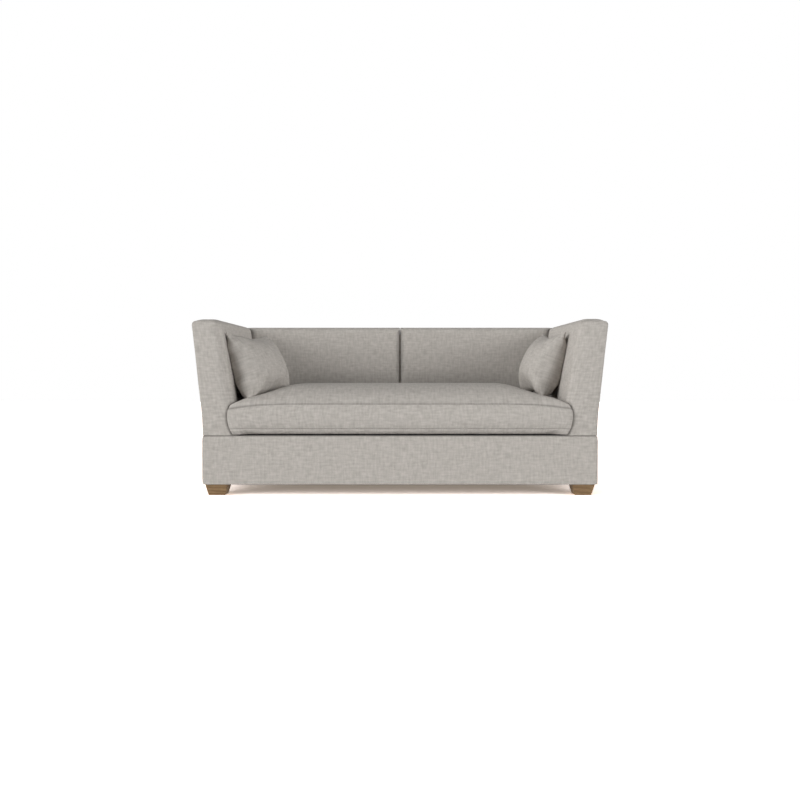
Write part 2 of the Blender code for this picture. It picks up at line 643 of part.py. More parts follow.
def make_deck(webbing, cloth):
    """Elastic straps on the rails, and the padded platform cloth that the cushion lies on."""
    strap_low = STRAP_TOP_Z - STRAP_THICKNESS
    front = COVER_FRONT_Y + RAIL_THICKNESS - STRAP_LANDING
    rear = COVER_REAR_Y - RAIL_THICKNESS + STRAP_LANDING
    bay = back_frame_reach() - BACK_END_STUMP_INSET - STUMP_THICKNESS
    pitch = bay / STRAPS_IN_BAY
    middles = [STUMP_THICKNESS / 2.0 + pitch * (index + 0.5) for index in range(STRAPS_IN_BAY)]
    for index, x in enumerate([-x for x in reversed(middles)] + middles):
        board("long_strap_%d" % (index + 1), (x - STRAP_WIDTH / 2.0, front, strap_low),
              (x + STRAP_WIDTH / 2.0, rear, STRAP_TOP_Z), webbing, edge=0.0)
    reach = COVER_INNER_X - RAIL_THICKNESS + STRAP_LANDING
    for index, share in enumerate(CROSS_STRAP_Y_SHARES):
        y = FRONT_Y + SEAT_DEPTH * share
        board("cross_strap_%d" % (index + 1), (-reach, y - STRAP_WIDTH / 2.0, LONG_RAIL_TOP_Z - STRAP_THICKNESS),
              (reach, y + STRAP_WIDTH / 2.0, LONG_RAIL_TOP_Z), webbing, edge=0.0)
    pad_x = inner_x(DECK_Z) + ARM_INNER_PAD - GAP
    board("deck_pad", (-pad_x, COVER_FRONT_Y, DECK_Z - DECK_PAD_THICKNESS),
          (pad_x, inner_y(DECK_Z) + BACK_INNER_PAD - GAP, DECK_Z), cloth, edge=DECK_PAD_EDGE)


def top_seam_z(x):
    """Height of the cushion's top seam, which sinks towards its ends."""
    drop_start = BORDER_END_REACH - END_DROP_LENGTH
    share = max(0.0, (abs(x) - drop_start) / END_DROP_LENGTH)
    return DECK_Z + CUSHION_BOX_HEIGHT - END_DROP * share ** END_DROP_POWER


def cushion_limits(z):
    """Half width and rear plane of the seat well at height z, less the running gap."""
    return inner_x(z) - CUSHION_SIDE_GAP, inner_y(z) - CUSHION_SIDE_GAP


def seat_top_z(x, y):
    """Height of the crowned cushion at a point in plan."""
    half, rear = cushion_limits(DECK_Z + CUSHION_BOX_HEIGHT)
    middle = (FRONT_Y + rear) / 2.0
    from_end = max(0.0, half - abs(x))
    from_edge = max(0.0, rear - middle - abs(y - middle))
    rise = max(0.0, min(1.0, (from_end - CROWN_END_START) / CROWN_END_RUN))
    across = 1.0 - from_edge / (rear - middle)
    swell = rise * rise * (3.0 - 2.0 * rise) * (1.0 - across ** CROWN_DEPTH_POWER)
    level = max(0.0, 1.0 - min(from_end, from_edge) / CUSHION_PUFF_REACH)
    puff = CUSHION_PUFF * math.sqrt(1.0 - level * level)
    return top_seam_z(x) + puff + (CUSHION_CROWN - CUSHION_PUFF) * swell


def spread(value):
    """Moves evenly spaced grid lines closer together near the edges."""
    return math.sin(value * math.pi / 2.0)


def rounded_plan(a, b, half_x, half_y, radius):
    """Maps a square grid onto a rectangle with round corners."""
    x, y = a * half_x, b * half_y
    core_x = max(-(half_x - radius), min(half_x - radius, x))
    core_y = max(-(half_y - radius), min(half_y - radius, y))
    dx, dy = x - core_x, y - core_y
    length = math.hypot(dx, dy)
    if length > 0.0 and dx != 0.0 and dy != 0.0:
        scale = max(abs(dx), abs(dy)) / length
        dx, dy = dx * scale, dy * scale
    return core_x + dx, core_y + dy


# Side of the cushion from the top seam down: share of the box height, share of the edge round drawn in
BOX_SIDE_SHARES = ((0.93, 0.0), (0.5, 0.0), (0.09, 0.0), (0.0, 0.16))
UNDER_SIDE_SHARES = ((0.70, 0.0), (0.22, 0.28), (0.0, 1.0))


def make_cushion(linen, parent):
    """Bench cushion: crowned top, boxed sides between two seams, and a rolled lower edge."""
    bm = bmesh.new()
    bmesh.ops.create_grid(bm, x_segments=CUSHION_CELLS[0], y_segments=CUSHION_CELLS[1], size=1.0)
    rim = [edge for edge in bm.edges if edge.is_boundary]
    for level in range(1, len(BOX_SIDE_SHARES) + len(UNDER_SIDE_SHARES) + 1):
        made = bmesh.ops.extrude_edge_only(bm, edges=rim)["geom"]
        rim = [item for item in made if isinstance(item, bmesh.types.BMEdge) and item.is_boundary]
        for item in made:
            if isinstance(item, bmesh.types.BMVert):
                item.co.z = -float(level)
    bmesh.ops.edgeloop_fill(bm, edges=rim)

    seam_z = DECK_Z + GAP + CUSHION_BOTTOM_SEAM
    sides = BOX_SIDE_SHARES + UNDER_SIDE_SHARES
    for vert in bm.verts:
        level = int(round(-vert.co.z))
        a, b = spread(vert.co.x), spread(vert.co.y)
        crest = top_seam_z(a * SEAT_HALF_WIDTH)
        drawn = CUSHION_SEAM_PINCH if level == 0 else CUSHION_EDGE_ROUND * sides[level - 1][1]
        if level == 0:
            z = crest
        elif level <= len(BOX_SIDE_SHARES):
            z = seam_z + (crest - seam_z) * sides[level - 1][0]
        else:
            z = DECK_Z + GAP + CUSHION_BOTTOM_SEAM * sides[level - 1][0]
        half, rear = cushion_limits(z)
        front = FRONT_Y + GAP
        depth = (rear - front) / 2.0
        x, y = rounded_plan(a, b, half - drawn, depth - drawn, CUSHION_CORNER_ROUND)
        y += (rear + front) / 2.0
        if level == 0:
            z = seat_top_z(x, y) if max(abs(vert.co.x), abs(vert.co.y)) < 1.0 else crest
        vert.co = Vector((x, y, z))
    face_outwards(bm)
    return finish_object("seat_cushion", bm, linen, parent=parent)


BORDER_STATION_SHARES = (0.0, 0.27, 0.52, 0.66, 0.76, 0.84, 0.90, 0.945, 0.972, 0.988, 1.0)
BORDER_ROUND_STEPS = 6


def border_section(x, mirror):
    """Upright section of the front border at x: flat behind, swelling in front, pinched at the seams."""
    left = max(0.0, BORDER_END_REACH - x)
    low = DECK_Z + GAP
    low = max(low, BORDER_END_MIDDLE_Z - BORDER_END_FALL * math.sqrt(left / BORDER_END_DRAW_LOW))
    high = min(top_seam_z(x),
               BORDER_END_MIDDLE_Z + BORDER_END_RISE * math.sqrt(left / BORDER_END_DRAW_HIGH))
    into_end = max(0.0, 1.0 - left / BORDER_END_LENGTH)
    full = math.sqrt(max(0.0, 1.0 - into_end * into_end))
    thickness = BORDER_END_TIP + (BORDER_THICKNESS - BORDER_END_TIP) * full
    bulge = BORDER_BULGE * full
    seam = DECK_Z + GAP + CUSHION_BOTTOM_SEAM
    seam = min(max(seam, low + (high - low) * 0.06), low + (high - low) * 0.5)
    back = FRONT_Y - GAP
    points = [Vector((x * mirror, back, low)), Vector((x * mirror, back, high))]
    for step in range(BORDER_ROUND_STEPS + 1):
        share = step / BORDER_ROUND_STEPS
        swell = math.sin(math.pi * share) ** 0.6
        y = back - thickness * 0.84 - (thickness * 0.16 + bulge) * swell
        points.append(Vector((x * mirror, y, high - (high - seam) * (0.02 + 0.98 * share))))
    under = seam - low
    points.append(Vector((x * mirror, back - thickness * 0.95, low + under * 0.62)))
    points.append(Vector((x * mirror, back - thickness * 0.72, low + under * 0.16)))
    return points


def make_border(linen, parent):
    """Front border strip of the cushion, which stands proud of the arms and overlaps their corners."""
    outward = [BORDER_END_REACH * share for share in BORDER_STATION_SHARES]
    outward[-1] = BORDER_END_REACH - BORDER_END_TIP / 2.0
    rings = [border_section(x, -1.0) for x in reversed(outward)]
    rings.extend(border_section(x, 1.0) for x in outward[1:])
    return loft("cushion_front_border", rings, linen, parent)


def make_pillow(name, place, turn, linen, parent):
    """Throw pillow with drawn-in sides, slumped into the corner of arm, back and seat."""
    bm = bmesh.new()
    for face in (1.0, -1.0):
        made = bmesh.ops.create_grid(bm, x_segments=PILLOW_CELLS, y_segments=PILLOW_CELLS, size=1.0)
        for vert in made["verts"]:
            a, b = spread(vert.co.x), spread(vert.co.y)
            rim = max(abs(vert.co.x), abs(vert.co.y)) >= 1.0 - 1e-6
            x = PILLOW_LENGTH / 2.0 * a * (1.0 - PILLOW_DRAW_SHARE * (1.0 - b * b))
            z = PILLOW_HEIGHT / 2.0 * b * (1.0 - PILLOW_DRAW_SHARE * (1.0 - a * a))
            full = max(0.0, (1.0 - a * a) * (1.0 - b * b)) ** PILLOW_ROUND_POWER
            y = 0.0 if rim else face * (PILLOW_SEAM + PILLOW_THICKNESS / 2.0 * full)
            vert.co = Vector((x, y, z))
    bmesh.ops.remove_doubles(bm, verts=bm.verts, dist=PILLOW_SEAM / 2.0)
    face_outwards(bm)
    yaw, roll, lean = (math.radians(angle) for angle in turn)
    turned = (Matrix.Translation(place) @ Matrix.Rotation(yaw, 4, "Z") @ Matrix.Rotation(roll, 4, "Y")
              @ Matrix.Rotation(lean, 4, "X"))
    bmesh.ops.transform(bm, matrix=turned, verts=bm.verts)
    for vert in bm.verts:
        point = vert.co
        side = math.copysign(1.0, point.x)
        for _ in range(3):
            arm = inner_x(point.z) - PILLOW_CLEARANCE
            point.x = side * min(abs(point.x), arm)
            back = inner_y(point.z) - back_bulge(point.z) - PILLOW_CLEARANCE
            point.y = min(point.y, back)
            point.z = max(point.z, seat_top_z(point.x, point.y) + PILLOW_CLEARANCE)
    return finish_object(name, bm, linen, parent=parent)


def build():
    clear_scene()
    linen = make_material("greige_linen", (0.462, 0.434, 0.401), 0.92)
    oak = make_material("brown_oak", (0.203, 0.133, 0.064), 0.55)
    wood = make_material("frame_timber", (0.55, 0.42, 0.26), 0.75)
    cloth = make_material("black_cloth", (0.022, 0.022, 0.024), 0.95)
    webbing = make_material("black_webbing", (0.045, 0.043, 0.040), 0.85)
    steel = make_material("zinc_steel", (0.56, 0.56, 0.55), 0.35, 1.0)

    dust_cover = make_base(linen, cloth, wood)
    make_feet(dust_cover, oak, wood, steel)
    make_deck(webbing, cloth)
    for side, mirror in (("left", -1.0), ("right", 1.0)):
        make_arm(side, mirror, linen, wood)
    make_back(linen, wood)

    seat_lift = make_empty("seat_lift", (0.0, 0.0, DECK_Z))
    make_cushion(linen, seat_lift)
    make_border(linen, seat_lift)
    left_place = (LEFT_PILLOW_FROM_ARM - SEAT_HALF_WIDTH, FRONT_Y + LEFT_PILLOW_SETBACK,
                  DECK_Z + LEFT_PILLOW_RISE)
    right_place = (SEAT_HALF_WIDTH - RIGHT_PILLOW_FROM_ARM, FRONT_Y + RIGHT_PILLOW_SETBACK,
                   DECK_Z + RIGHT_PILLOW_RISE)
    for name, place, turn in (("pillow_left", left_place, LEFT_PILLOW_TURN),
                              ("pillow_right", right_place, RIGHT_PILLOW_TURN)):
        pillow_lift = make_empty(name + "_lift", place)
        make_pillow(name, place, turn, linen, pillow_lift)


build()
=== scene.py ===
import math

import bmesh
import bpy
from mathutils import Matrix, Vector, kdtree, noise


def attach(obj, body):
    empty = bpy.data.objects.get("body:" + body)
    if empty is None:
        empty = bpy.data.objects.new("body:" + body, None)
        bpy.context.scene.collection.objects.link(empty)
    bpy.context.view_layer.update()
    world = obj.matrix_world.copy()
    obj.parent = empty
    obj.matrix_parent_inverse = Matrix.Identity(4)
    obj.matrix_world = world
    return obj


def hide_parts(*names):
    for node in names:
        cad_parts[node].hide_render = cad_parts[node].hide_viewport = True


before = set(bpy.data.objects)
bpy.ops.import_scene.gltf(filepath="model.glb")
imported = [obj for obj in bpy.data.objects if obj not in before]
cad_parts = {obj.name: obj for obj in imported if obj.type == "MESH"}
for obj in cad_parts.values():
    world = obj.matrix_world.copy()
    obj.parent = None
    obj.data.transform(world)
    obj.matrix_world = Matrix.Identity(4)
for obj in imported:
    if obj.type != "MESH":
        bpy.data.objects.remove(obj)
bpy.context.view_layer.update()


# Timber frame: rails, stretcher, corner blocks and the sawn stumps of arms and back.
# Planed softwood boards, glued and screwed into a box and closed in by the upholstery.
# The boards are the solids themselves, each with its grain along its own length.
def place(tree, kind, inputs, **settings):
    """One shader node: an input takes a number, a colour or another node's output."""
    node = tree.nodes.new("ShaderNode" + kind)
    for name, value in settings.items():
        setattr(node, name, value)
    for name, value in inputs.items():
        if isinstance(value, bpy.types.NodeSocket):
            tree.links.new(value, node.inputs[name])
        else:
            node.inputs[name].default_value = value
    return node


def sums(tree, operation, first, second=0.0, third=0.0):
    return place(tree, "Math", {0: first, 1: second, 2: third}, operation=operation).outputs[0]


def times(tree, first, second):
    return sums(tree, "MULTIPLY", first, second)


def times_plus(tree, first, second, added):
    return sums(tree, "MULTIPLY_ADD", first, second, added)


def blend_colors(tree, share, first, second, mode="MIX"):
    return place(tree, "Mix", {0: share, 6: first, 7: second}, data_type="RGBA", blend_type=mode).outputs[2]


def spread_range(tree, value, low, high, new_low, new_high):
    return place(tree, "MapRange", {0: value, 1: low, 2: high, 3: new_low, 4: new_high}).outputs[0]


def stretch(tree, vector, scales):
    return place(tree, "VectorMath", {0: vector, 1: scales}, operation="MULTIPLY").outputs[0]


def cloudy(tree, vector, scale, detail):
    return place(tree, "TexNoise", {"Vector": vector, "Scale": scale, "Detail": detail}).outputs[0]


def object_space(tree):
    return place(tree, "TexCoord", {}).outputs["Object"]


def new_group(name, *inputs):
    """Shader node group that gives a colour, a roughness and a height, and the node of its inputs."""
    tree = bpy.data.node_groups.new(name, "ShaderNodeTree")
    for socket, kind, value in inputs:
        made = tree.interface.new_socket(name=socket, in_out="INPUT", socket_type="NodeSocket" + kind)
        made.default_value = value
    for socket, kind in (("Color", "Color"), ("Roughness", "Float"), ("Height", "Float")):
        tree.interface.new_socket(name=socket, in_out="OUTPUT", socket_type="NodeSocket" + kind)
    return tree, tree.nodes.new("NodeGroupInput").outputs


def finish_group(tree, *values):
    for value, socket in zip(values, tree.nodes.new("NodeGroupOutput").inputs):
        tree.links.new(value, socket)


def wood_grain_group():
    """Growth lines, pores and edge-to-edge colour drift; the grain runs along the vector's X."""
    tree, given = new_group(
        "wood_grain", ("Vector", "Vector", (0.0, 0.0, 0.0)), ("Early Wood", "Color", (1, 1, 1, 1)),
        ("Late Wood", "Color", (0, 0, 0, 1)), ("Pore Darkness", "Float", 0.3))
    wander = cloudy(tree, stretch(tree, given["Vector"], (1.2, 9.0, 9.0)), 1.6, 3.0)
    rings = stretch(tree, given["Vector"], (2.0, 60.0, 60.0))
    bent = place(tree, "VectorMath", {0: rings, 1: wander, 2: rings}, operation="ADD").outputs[0]
    lines = place(tree, "TexWave", {"Vector": bent, "Scale": 0.9, "Distortion": 5.0, "Detail": 3.0,
                                    "Detail Scale": 0.7}, bands_direction="DIAGONAL").outputs[1]
    pores = cloudy(tree, stretch(tree, given["Vector"], (45.0, 1400.0, 1400.0)), 1.0, 2.0)
    pore_mask = spread_range(tree, pores, 0.52, 0.68, 0.0, 1.0)
    drift = cloudy(tree, given["Vector"], 22.0, 2.0)
    share = times_plus(tree, lines, 0.62, times(tree, drift, 0.38))
    wood = blend_colors(tree, share, given["Early Wood"], given["Late Wood"])
    pore_share = times(tree, pore_mask, given["Pore Darkness"])
    wood = blend_colors(tree, pore_share, wood, (0.03, 0.02, 0.012, 1.0))
    finish_group(tree, wood, times_plus(tree, pore_mask, 0.2, times_plus(tree, lines, 0.12, 0.5)),
                 times_plus(tree, pore_mask, -0.6, times(tree, lines, 0.4)))
    return tree


def new_material(name, **constants):
    """Material with its shader; the constants go on the shader's own sockets."""
    material = bpy.data.materials.new(name)
    material.use_nodes = True
    shader = material.node_tree.nodes["Principled BSDF"]
    for socket, value in constants.items():
        shader.inputs[socket.replace("_", " ")].default_value = value
    return material, material.node_tree, shader


def finish_surface(tree, shader, color, roughness, height, depth, strength=0.6):
    """Links colour and roughness, and gives the shader relief of the stated depth in metres."""
    tree.links.new(color, shader.inputs["Base Color"])
    tree.links.new(roughness, shader.inputs["Roughness"])
    bump = place(tree, "Bump", {"Height": height, "Distance": depth, "Strength": strength})
    tree.links.new(bump.outputs[0], shader.inputs["Normal"])


wood_grain = wood_grain_group()


def grained_wood(name, early, late, turn, pore_darkness, depth):
    material, tree, shader = new_material(name, Specular_IOR_Level=0.35)
    turned = place(tree, "Mapping", {"Vector": object_space(tree), "Rotation": turn}).outputs[0]
    grain = place(tree, "Group", {"Vector": turned, "Early Wood": early, "Late Wood": late,
                                  "Pore Darkness": pore_darkness}, node_tree=wood_grain)
    finish_surface(tree, shader, *grain.outputs[:], depth)
    return material


def dress(node_name, material):
    """Gives a solid of the frame its finish."""
    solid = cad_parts[node_name]
    if not solid.material_slots:
        solid.data.materials.append(material)
    for slot in solid.material_slots:
        slot.material = material


quarter_turn = math.radians(90.0)
softwood_light, softwood_dark = (0.62, 0.46, 0.27, 1.0), (0.46, 0.30, 0.15, 1.0)
softwood_pores, softwood_relief = 0.12, 0.0003
grain_ways = {"across": (0.0, 0.0, 0.0), "deep": (0.0, 0.0, quarter_turn),
              "upright": (0.0, quarter_turn, 0.0)}
softwood = {way: grained_wood("softwood_" + way, softwood_light, softwood_dark, turn, softwood_pores,
                              softwood_relief)
            for way, turn in grain_ways.items()}
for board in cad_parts:
    if "stump" in board:
        dress(board, softwood["upright"])
    elif board in ("front_rail", "rear_rail") or board.startswith(("back_top", "back_tack", "corner_block")):
        dress(board, softwood["across"])
    elif "rail" in board or board == "centre_stretcher":
        dress(board, softwood["deep"])


# Deck: eight elastic straps stretched over the rails, two woven across them, and a platform cloth.
# The straps are ribbed black webbing with rubber in it; the cloth is a black felted pad.
# They are the solids themselves, and show only when the cushion is lifted off.
def ribbed_webbing():
    material, tree, shader = new_material("elastic_webbing", Specular_IOR_Level=0.2)
    where = object_space(tree)
    parts = place(tree, "SeparateXYZ", {"Vector": where}).outputs
    rib_turn, stripe_turn = 2400.0, 360.0
    ribs = sums(tree, "SINE", times(tree, sums(tree, "ADD", parts[0], parts[1]), rib_turn))
    fuzz = cloudy(tree, where, 900.0, 2.0)
    stripes = sums(tree, "SINE", times(tree, parts[0], stripe_turn))
    stripe_mask = spread_range(tree, stripes, 0.86, 0.92, 0.0, 0.75)
    shade = blend_colors(tree, fuzz, (0.020, 0.019, 0.018, 1.0), (0.060, 0.056, 0.052, 1.0))
    shade = blend_colors(tree, stripe_mask, shade, (0.16, 0.145, 0.12, 1.0))
    finish_surface(tree, shader, shade, spread_range(tree, fuzz, 0.3, 0.7, 0.75, 0.95),
                   times_plus(tree, ribs, 0.5, fuzz), 0.0005)
    return material


def felted_cloth(name, dark, light, scale, depth):
    material, tree, shader = new_material(name, Specular_IOR_Level=0.15, Sheen_Weight=0.1)
    where = object_space(tree)
    fibres = cloudy(tree, where, scale, 4.0)
    dots = place(tree, "TexVoronoi", {"Vector": where, "Scale": scale * 0.8}).outputs[0]
    dimples = spread_range(tree, dots, 0.0, 0.45, 1.0, 0.0)
    patches = cloudy(tree, where, 6.0, 3.0)
    share = times_plus(tree, fibres, 0.6, times(tree, patches, 0.4))
    finish_surface(tree, shader, blend_colors(tree, share, dark, light),
                   spread_range(tree, fibres, 0.3, 0.7, 0.85, 1.0),
                   times_plus(tree, dimples, -0.5, fibres), depth)
    return material


webbing = ribbed_webbing()
platform_cloth = felted_cloth("platform_cloth", (0.016, 0.016, 0.018, 1.0), (0.040, 0.040, 0.043, 1.0),
                              scale=700.0, depth=0.0005)
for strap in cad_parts:
    if "strap" in strap:
        dress(strap, webbing)
dress("deck_pad", platform_cloth)


# Dust cover under the rails, and the four bolts that hold the feet.
# Thin spun-bonded black cloth, stapled up; zinc-plated steel bolts through the corner blocks.
# Both are the solids themselves.
def plated_steel():
    material, tree, shader = new_material("zinc_steel", Metallic=1.0)
    where = object_space(tree)
    spangle = place(tree, "TexVoronoi", {"Vector": where, "Scale": 900.0}).outputs[0]
    scuffs = cloudy(tree, where, 300.0, 5.0)
    shade = blend_colors(tree, spangle, (0.62, 0.62, 0.60, 1.0), (0.46, 0.47, 0.48, 1.0))
    thread_z = place(tree, "SeparateXYZ", {"Vector": where}).outputs[2]
    thread_turn = 5000.0
    thread = sums(tree, "SINE", times(tree, thread_z, thread_turn))
    finish_surface(tree, shader, shade, spread_range(tree, scuffs, 0.3, 0.7, 0.28, 0.5),
                   times_plus(tree, thread, 0.6, scuffs), 0.0004)
    return material


dress("dust_cover", felted_cloth("dust_cloth", (0.012, 0.012, 0.013, 1.0), (0.034, 0.034, 0.036, 1.0),
                                 scale=1300.0, depth=0.0003))
zinc_steel = plated_steel()
base_corner_names = ("front_left", "front_right", "rear_left", "rear_right")
for corner in base_corner_names:
    dress("foot_bolt_" + corner, zinc_steel)


# Feet: four low tapered blocks of brown-stained oak under the corners of the rail box.
# Sawn, eased at the edges, stained and oiled; the grain runs across the front of the sofa.
# They are the solids themselves.
oak = grained_wood("brown_oak", (0.275, 0.180, 0.090, 1.0), (0.150, 0.092, 0.042, 1.0),
                   turn=(math.radians(4.0), 0.0, 0.0), pore_darkness=0.55, depth=0.0006)
for corner in base_corner_names:
    dress("foot_" + corner, oak)


# Base: one strip of linen drawn round the rail box over thin padding.
# It turns in at a hem below and a seam above, rounds softly at the corners, and is stapled inside.
# The linen is a plain weave in warm greige, with slubs in warp and weft and a slight sheen.
running_gap = 0.0003
half_width, tub_front, base_depth = 0.871, -0.44062, 0.8546
tub_rear = tub_front + base_depth
base_bottom, deck_height = 0.0503, 0.2663
corner_round, hem_round, side_padding = 0.010, 0.0035, 0.002
base_seam_shade_width, base_calm, base_cell, base_cloth = 0.012, 0.02, 0.014, 0.002
linen_light, linen_dark = (0.530, 0.500, 0.464, 1.0), (0.395, 0.369, 0.339, 1.0)


def linen_group():
    """Plain linen weave on a vector in metres, with slubs, heather, painted shade in its hollows, and
    puckered stitching darkened by painted shade where asked.
    """
    tree, given = new_group(
        "linen_weave", ("Vector", "Vector", (0.0, 0.0, 0.0)), ("Light Yarn", "Color", (1, 1, 1, 1)),
        ("Dark Yarn", "Color", (0, 0, 0, 1)), ("Seam", "Float", 0.0))

    def stretched(u_scale, v_scale, detail):
        return place(tree, "TexNoise", {"Vector": stretch(tree, given["Vector"], (u_scale, v_scale, 1.0)),
                                        "Scale": 1.0, "Detail": detail}, noise_dimensions="2D").outputs[0]

    def threads(along, wobble_turn):
        angle = times_plus(tree, along, math.pi * threads_per_metre,
                     times(tree, wobble, wobble_turn))
        return sums(tree, "SINE", angle)

    threads_per_metre = 720.0
    wobble = stretched(60.0, 60.0, 1.0)
    parts = place(tree, "SeparateXYZ", {"Vector": given["Vector"]}).outputs
    wave_u, wave_v = threads(parts[0], 5.0), threads(parts[1], -5.0)
    warp_on_top = spread_range(tree, times(tree, wave_u, wave_v), -0.15, 0.15, 0.0, 1.0)
    crown_u, crown_v = sums(tree, "ABSOLUTE", wave_u), sums(tree, "ABSOLUTE", wave_v)
    thread = place(tree, "Mix", {0: warp_on_top, 2: crown_v, 3: crown_u}).outputs[0]

    warp_slub = stretched(115.0, 24.0, 1.0)
    weft_slub = stretched(24.0, 115.0, 1.0)
    fine_warp = stretched(700.0, 60.0, 1.0)
    fine_weft = stretched(60.0, 700.0, 1.0)
    mottle = stretched(60.0, 60.0, 1.0)
    fleck = stretched(900.0, 900.0, 1.0)
    cloud = stretched(9.0, 9.0, 2.0)
    fine = place(tree, "Mix", {0: warp_on_top, 2: fine_weft, 3: fine_warp}).outputs[0]
    slubs = times(tree, sums(tree, "ADD", warp_slub, weft_slub), 0.5)
    heather = times_plus(tree, mottle, 0.45, times(tree, slubs, 2.2))
    heather = times_plus(tree, fine, 0.30, times_plus(tree, fleck, 0.25, heather))
    heather = times_plus(tree, cloud, 0.10, heather)
    share = spread_range(tree, heather, 1.09, 2.20, 0.0, 1.0)
    shade = blend_colors(tree, share, given["Dark Yarn"], given["Light Yarn"])
    # Painted shade in the weave's hollows: the colour darkens where the threads dip.
    painted_hollow_shade = spread_range(tree, thread, 0.0, 0.55, 0.80, 1.0)
    # Painted shade: the colour darkens where the marked seam value is high, along seams, grooves and places
    # marked for shade.
    painted_seam_shade = spread_range(tree, given["Seam"], 0.4, 1.0, 1.0, 0.62)
    painted_dimming = times(tree, painted_hollow_shade, painted_seam_shade)
    grey = place(tree, "CombineColor", {0: painted_dimming, 1: painted_dimming, 2: painted_dimming}).outputs[0]
    shade = blend_colors(tree, 1.0, shade, grey, "MULTIPLY")
    pucker = times(tree, sums(tree, "SUBTRACT", stretched(70.0, 18.0, 1.0), 0.5),
                  times(tree, given["Seam"], 6.0))
    height = times_plus(tree, thread, 0.55, times(tree, slubs, 0.9))
    finish_group(tree, shade, spread_range(tree, slubs, 0.3, 0.7, 0.96, 0.84),
                 sums(tree, "ADD", height, pucker))
    return tree


def linen_material(name, light, dark):
    material, tree, shader = new_material(name, Specular_IOR_Level=0.10, Sheen_Weight=0.03,
                                          Sheen_Roughness=0.45)
    along = place(tree, "UVMap", {}, uv_map="cut").outputs[0]
    # The seam attribute marks seams for pucker, and also places where painted shade darkens the linen.
    seam_and_painted_shade = place(tree, "Attribute", {}, attribute_name="seam_and_painted_shade").outputs["Fac"]
    cloth = place(tree, "Group", {"Vector": along, "Light Yarn": light, "Dark Yarn": dark, "Seam": seam_and_painted_shade},
                  node_tree=linen)
    finish_surface(tree, shader, *cloth.outputs[:], depth=0.00035, strength=0.55)
    return material


linen = linen_group()
linen_upholstery = linen_material("linen_upholstery", linen_light, linen_dark)


def near(distance, reach):
    """1 at the line it is measured from, falling evenly to 0 at its reach."""
    return 1.0 - min(1.0, distance / reach)


def ease(share):
    share = max(0.0, min(1.0, share))
    return share * share * (3.0 - 2.0 * share)


def face_outwards(bm):
    bm.normal_update()
    bmesh.ops.recalc_face_normals(bm, faces=bm.faces)
    if bm.calc_volume(signed=True) < 0.0:
        bmesh.ops.reverse_faces(bm, faces=bm.faces)


def draw_cover(corners, stations, cell):
    """Plan outline extruded through its stations; each point keeps its run round and up the cover."""
    bm = bmesh.new()
    bmesh.ops.create_grid(bm, x_segments=1, y_segments=1, size=1.0)
    around = bm.verts.layers.float.new("around")
    up = bm.verts.layers.float.new("up")
    bm.verts.ensure_lookup_table()
    order = {(-1, -1): 0, (1, -1): 1, (1, 1): 2, (-1, 1): 3}
    posts = sorted(bm.verts, key=lambda vert: order[(round(vert.co.x), round(vert.co.y))])
    for vert, (x, y, _, _) in zip(posts, corners):
        vert.co = Vector((x, y, 0.0))
    for vert, (_, _, radius, steps) in zip(posts, corners):
        bmesh.ops.bevel(bm, geom=[vert], offset=radius, offset_type="OFFSET", affect="VERTICES",
                        segments=steps, profile=0.5, material=-1)
    for edge in [edge for edge in bm.edges if edge.calc_length() > 1.6 * cell]:
        bmesh.ops.subdivide_edges(bm, edges=[edge], cuts=int(edge.calc_length() / cell))
    bm.faces.ensure_lookup_table()
    run = 0.0
    for loop in bm.faces[0].loops:
        loop.vert[around] = run
        run += loop.edge.calc_length()
    for item in bmesh.ops.extrude_face_region(bm, geom=bm.faces[:])["geom"]:
        if isinstance(item, bmesh.types.BMVert):
            item.co.z = 1.0
    risers = [edge for edge in bm.edges if abs(edge.verts[0].co.z - edge.verts[1].co.z) > 0.5]
    bmesh.ops.subdivide_edges(bm, edges=risers, cuts=len(stations) - 2, use_grid_fill=True)
    low_x, high_x = min(c[0] for c in corners), max(c[0] for c in corners)
    low_y, high_y = min(c[1] for c in corners), max(c[1] for c in corners)
    climbs = [0.0]
    for before, after in zip(stations, stations[1:]):
        drawn_in = max(abs(a - b) for a, b in zip(after[1], before[1]))
        climbs.append(climbs[-1] + math.hypot(after[0] - before[0], drawn_in))
    for vert in bm.verts:
        level = int(round(vert.co.z * (len(stations) - 1)))
        z, (x_in, x_out, y_in, y_out) = stations[level]
        x = low_x + x_in + (vert.co.x - low_x) * (high_x - low_x - x_in - x_out) / (high_x - low_x)
        y = low_y + y_in + (vert.co.y - low_y) * (high_y - low_y - y_in - y_out) / (high_y - low_y)
        vert.co = Vector((x, y, z))
        vert[up] = stations[0][0] + climbs[level]
    face_outwards(bm)
    return bm, run


def lay_cloth(bm, run=0.0):
    """Unwraps the cloth in metres: round and up on the walls, flat on level faces and a marked top."""
    cut, top_cut = bm.loops.layers.uv.new("cut"), bm.faces.layers.int.get("top_cut")
    around, up = bm.verts.layers.float["around"], bm.verts.layers.float["up"]
    bm.normal_update()
    for face in bm.faces:
        flat = abs(face.normal.z) > 0.8 or (top_cut is not None and face[top_cut])
        lengths = [vert[around] for vert in face.verts]
        wraps = max(lengths) - min(lengths) > run / 2.0
        for loop in face.loops:
            length = loop.vert[around]
            if wraps and length < run / 2.0:
                length += run
            loop[cut].uv = (loop.vert.co.x, loop.vert.co.y) if flat else (length, loop.vert[up])


def cloth_ripple(point, amount=0.0007):
    """Small unevenness of padding under tight cloth."""
    return amount * noise.noise(point * 9.0) + 0.45 * amount * noise.noise(point * 31.0)


